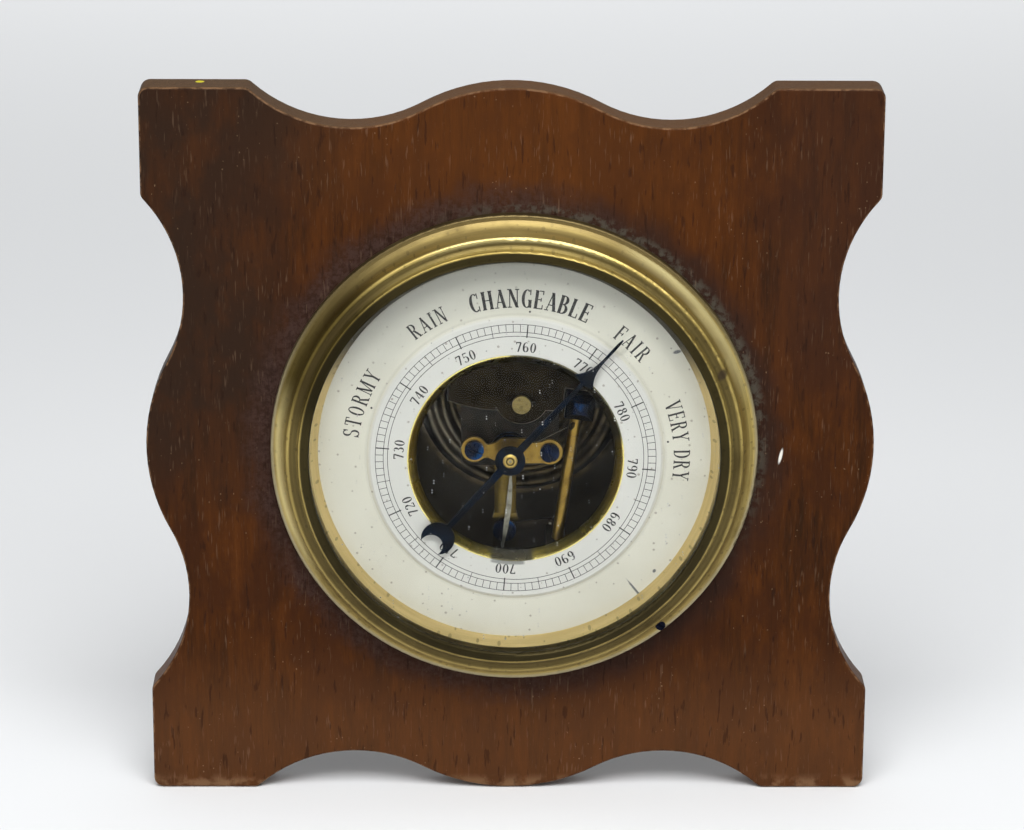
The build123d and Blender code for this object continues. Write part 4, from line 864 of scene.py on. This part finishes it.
def hand_steel():
    """The hand: blue-black steel, darker than the screws."""
    blue = Paint("hand_steel", metallic=1.0)
    cloud = blue.noise(0.3, detail=3, seed=6)
    polish_and_highlight = blue.noise((5, 5, 0.6), detail=3, roughness=0.6)
    color = blue.mix(blue.fade(cloud, 0.40, 0.62), (0.006, 0.011, 0.022), (0.005, 0.006, 0.009))
    return blue.finish(color, blue.fade(polish_and_highlight, 0.3, 0.7, 0.30, 0.42), polish_and_highlight, depth=0.004, strength=0.3)


def corrugated_metal():
    """The capsule: dark brown-grey tarnish with one paler, painted highlight streak on its left."""
    metal = Paint("capsule_metal", metallic=1.0)
    _, around = metal.round_axis(CAPSULE)
    cloud = metal.noise(0.25, detail=4, roughness=0.6)
    fine = metal.noise(3, detail=3, point=around)
    color = metal.mix(metal.fade(cloud, 0.4, 0.65), (0.080, 0.058, 0.030), (0.026, 0.018, 0.010))
    # Painted highlight: a pale streak on the left, where the corrugations catch the light.
    painted_streak = metal.spot(CAPSULE, -22, -8, 14, 4.0, -42, soft=0.7)
    color = metal.mix(metal.times(painted_streak, 0.35), color, (0.34, 0.30, 0.24))
    rough = metal.add(metal.fade(cloud, 0.3, 0.7, 0.26, 0.42), metal.times(fine, 0.1))
    return metal.finish(color, rough, fine, depth=0.01, strength=0.5)


def dark_casting():
    """Blackened rough metal of the movement's frame."""
    black = Paint("dark_casting", metallic=0.6)
    cloud = black.noise(0.3, detail=4, roughness=0.6)
    grit = black.noise(4, detail=2)
    color = black.mix(black.fade(cloud, 0.4, 0.7), (0.009, 0.0065, 0.0038), (0.024, 0.017, 0.010))
    return black.finish(color, black.fade(grit, 0.3, 0.7, 0.42, 0.6), grit, depth=0.02, strength=0.6)


def window_glass():
    """Flat clear glass with a little dust."""
    glass = Paint("window_glass", roughness=0.02)
    tree = glass.tree
    clear = tree.nodes.new("ShaderNodeBsdfTransparent")
    clear.inputs["Color"].default_value = (0.97, 0.98, 0.975, 1)
    shine = tree.nodes.new("ShaderNodeBsdfGlossy")
    shine.inputs["Roughness"].default_value = 0.03
    fresnel = tree.nodes.new("ShaderNodeFresnel")
    fresnel.inputs["IOR"].default_value = 1.15
    mirror = tree.nodes.new("ShaderNodeMixShader")
    glass.feed(mirror.inputs[0], fresnel.outputs[0])
    glass.feed(mirror.inputs[1], clear.outputs[0])
    glass.feed(mirror.inputs[2], shine.outputs[0])
    dust = tree.nodes.new("ShaderNodeBsdfDiffuse")
    dust.inputs["Color"].default_value = (0.8, 0.79, 0.75, 1)
    dusty = tree.nodes.new("ShaderNodeMixShader")
    haze = glass.fade(glass.noise(0.08, detail=4, seed=9), 0.4, 0.75, 0.0, 0.004)
    front = glass.fade(glass.normal()[1], 0, -0.5)
    sparse = glass.fade(glass.noise(0.12, seed=29), 0.42, 0.50)
    specks = glass.times(glass.specks(4.6, 0.20, seed=1), front, sparse, 0.7)
    glass.feed(dusty.inputs[0], glass.maths("MAXIMUM", haze, specks))
    glass.feed(dusty.inputs[1], mirror.outputs[0])
    glass.feed(dusty.inputs[2], dust.outputs[0])
    output = next(node for node in tree.nodes if node.type == "OUTPUT_MATERIAL")
    tree.links.new(dusty.outputs[0], output.inputs["Surface"])
    tree.nodes.remove(glass.shader)
    return glass.material


def pale_floor():
    """Smooth pale studio paper."""
    paper = Paint("pale_floor")
    cloud = paper.noise(0.004, detail=2)
    grain = paper.noise(0.8, detail=2)
    color = paper.mix(cloud, (0.78, 0.79, 0.80), (0.80, 0.805, 0.81))
    return paper.finish(color, 0.9, grain, depth=0.02, strength=0.1)


WORN_BRASS = (0.30, 0.21, 0.09)
PLAIN_BRASS = {              # by slot: clean colour, tarnish, its amount, middle of the turning, roughness
    "case_brass": ((0.34, 0.26, 0.10), (0.15, 0.11, 0.05), 0.5, CASE, 0.42),
    "movement_brass": ((0.40, 0.25, 0.055), (0.19, 0.115, 0.025), 0.3, HUB, 0.3),
    "tarnished_brass": ((0.07, 0.055, 0.035), (0.035, 0.028, 0.02), 0.4, HUB, 0.5),
    "stand_brass": ((0.52, 0.38, 0.16), WORN_BRASS, 0.4, CASE, 0.35),
    "screw_brass": ((0.56, 0.42, 0.19), WORN_BRASS, 0.4, CASE, 0.32),
}


def make_materials():
    """One material for each of the record's material slots."""
    materials = {
        "mahogany": mahogany(),
        "aged_brass": bezel_brass(),
        "gilt_brass": reflector_brass(),
        "lever_brass": lever_brass(),
        "screw_steel": machined_steel("screw_steel", (0.34, 0.33, 0.31), (0.16, 0.13, 0.10)),
        "blued_steel": blued_steel(),
        "bright_steel": machined_steel("bright_steel", (0.34, 0.32, 0.26), (0.20, 0.18, 0.14)),
        "spring_steel": spring_steel(),
        "dark_casting": dark_casting(),
        "capsule_metal": corrugated_metal(),
        "dial_white": dial_coating(),
        "glass": window_glass(),
    }
    for slot, finish in PLAIN_BRASS.items():
        materials[slot] = plain_brass(slot, *finish)
    return materials


def dress_nodes(materials):
    """Gives every CAD node the material of its slot in the record, and four of them a closer match."""
    for part in frame["record"]["subparts"]:
        mesh = frame["nodes"][part["node"]].data
        mesh.materials.clear()
        mesh.materials.append(materials[part["material_slot"]])
    frame["nodes"]["dial_sight_ring"].data.materials[0] = sight_ring_brass()
    frame["nodes"]["pointer_bush"].data.materials[0] = bush_brass()
    frame["nodes"]["pointer"].data.materials[0] = hand_steel()
    frame["nodes"]["knife_edge_pin"].data.materials[0] = materials["dark_casting"]


# ---- floor, light and camera
FLOOR_SIZE = 4.0
FLOOR_STEPS = 8
FLOOR_DROP = 0.1 * MM
LIGHT_TARGET = (0, 0, 0.08)
LIGHTS = [                   # name, place, target, width, height, power in watts, spread in degrees
    ("top_light", (0, -0.78, 1.20), LIGHT_TARGET, 1.1, 0.8, 20, 180),
    ("left_light", (-0.85, -0.95, 0.65), LIGHT_TARGET, 0.7, 0.7, 2.6, 180),
    ("right_light", (0.85, -0.95, 0.65), LIGHT_TARGET, 0.7, 0.7, 2.6, 180),
    ("back_light", (0, 1.2, 1.3), (0, 1.5, 0), 1.8, 0.6, 4.5, 90),
]
STUDIO_COLOR = (0.96, 0.98, 1.0)
STUDIO_BASE = 0.03           # the surroundings' strength where nothing adds to it
STUDIO_OVERHEAD = 0.45       # and what is added overhead, at the sides and behind
STUDIO_SIDES = 0.20
STUDIO_BEHIND = 0.22


def make_floor():
    mesh = bmesh.new()
    bmesh.ops.create_grid(mesh, x_segments=FLOOR_STEPS, y_segments=FLOOR_STEPS, size=FLOOR_SIZE)
    floor = to_object("floor", mesh)
    floor.location.z = -FLOOR_DROP
    floor.data.materials.append(pale_floor())


def area_light(name, place, target, width, height, power, spread):
    data = bpy.data.lights.new(name, "AREA")
    data.shape = "RECTANGLE"
    data.size = width
    data.size_y = height
    data.energy = power
    data.spread = radians(spread)
    light = bpy.data.objects.new(name, data)
    light.location = place
    light.rotation_euler = (Vector(target) - Vector(place)).to_track_quat("-Z", "Y").to_euler()
    bpy.context.scene.collection.objects.link(light)


def make_surroundings():
    """A studio that is bright overhead, dimmer at the sides and behind, and dark where the camera stands."""
    world = bpy.data.worlds.new("studio")
    bpy.context.scene.world = world
    world.use_nodes = True
    nodes = Nodes(world.node_tree)
    x, y, z = nodes.axes(nodes.tree.nodes.new("ShaderNodeTexCoord").outputs["Generated"])
    overhead = nodes.fade(z, 0.35, 0.9, 0, STUDIO_OVERHEAD)
    sides = nodes.fade(nodes.maths("ABSOLUTE", x), 0.45, 0.95, 0, STUDIO_SIDES)
    behind = nodes.fade(y, 0.0, 0.8, 0, STUDIO_BEHIND)
    background = world.node_tree.nodes["Background"]
    nodes.feed(background.inputs["Color"], STUDIO_COLOR)
    nodes.feed(background.inputs["Strength"], nodes.add(STUDIO_BASE, overhead, sides, behind))


CAMERA_YAW = -0.63           # degrees
CAMERA_PITCH = 17.91
CAMERA_ROLL = 0.293
CAMERA_LENS = 139.8          # millimetres
CAMERA_SENSOR = 36
CAMERA_DISTANCE = 1.0187
CAMERA_NEAREST = 0.05
CAMERA_FURTHEST = 50
CAMERA_TARGET = (0.36 * MM, BOARD_FRONT, (BOARD_LOW.z + BOARD_HIGH.z) / 2 + 8.82 * MM)


def make_camera():
    yaw = radians(CAMERA_YAW)
    pitch = radians(CAMERA_PITCH)
    roll = radians(CAMERA_ROLL)
    back = Vector((sin(yaw) * cos(pitch), -cos(yaw) * cos(pitch), sin(pitch)))
    right = Vector((cos(yaw), sin(yaw), 0))
    up = back.cross(right)
    across = cos(roll) * right + sin(roll) * up
    upright = cos(roll) * up - sin(roll) * right
    data = bpy.data.cameras.new("camera")
    data.lens = CAMERA_LENS
    data.sensor_width = CAMERA_SENSOR
    data.clip_start = CAMERA_NEAREST
    data.clip_end = CAMERA_FURTHEST
    camera = bpy.data.objects.new("camera", data)
    turn = Matrix((across, upright, back)).transposed().to_4x4()
    camera.matrix_world = Matrix.Translation(Vector(CAMERA_TARGET) + CAMERA_DISTANCE * back) @ turn
    bpy.context.scene.collection.objects.link(camera)
    bpy.context.scene.camera = camera


def main():
    scene = bpy.context.scene
    scene.view_settings.view_transform = "Standard"
    materials = make_materials()
    dress_nodes(materials)
    make_chain().data.materials.append(materials["spring_steel"])
    print_ink = ink()
    for piece in (make_scale_lines(), make_scale_figures(), make_weather_words()):
        piece.data.materials.append(print_ink)
    make_floor()
    for light in LIGHTS:
        area_light(*light)
    make_surroundings()
    make_camera()


main()
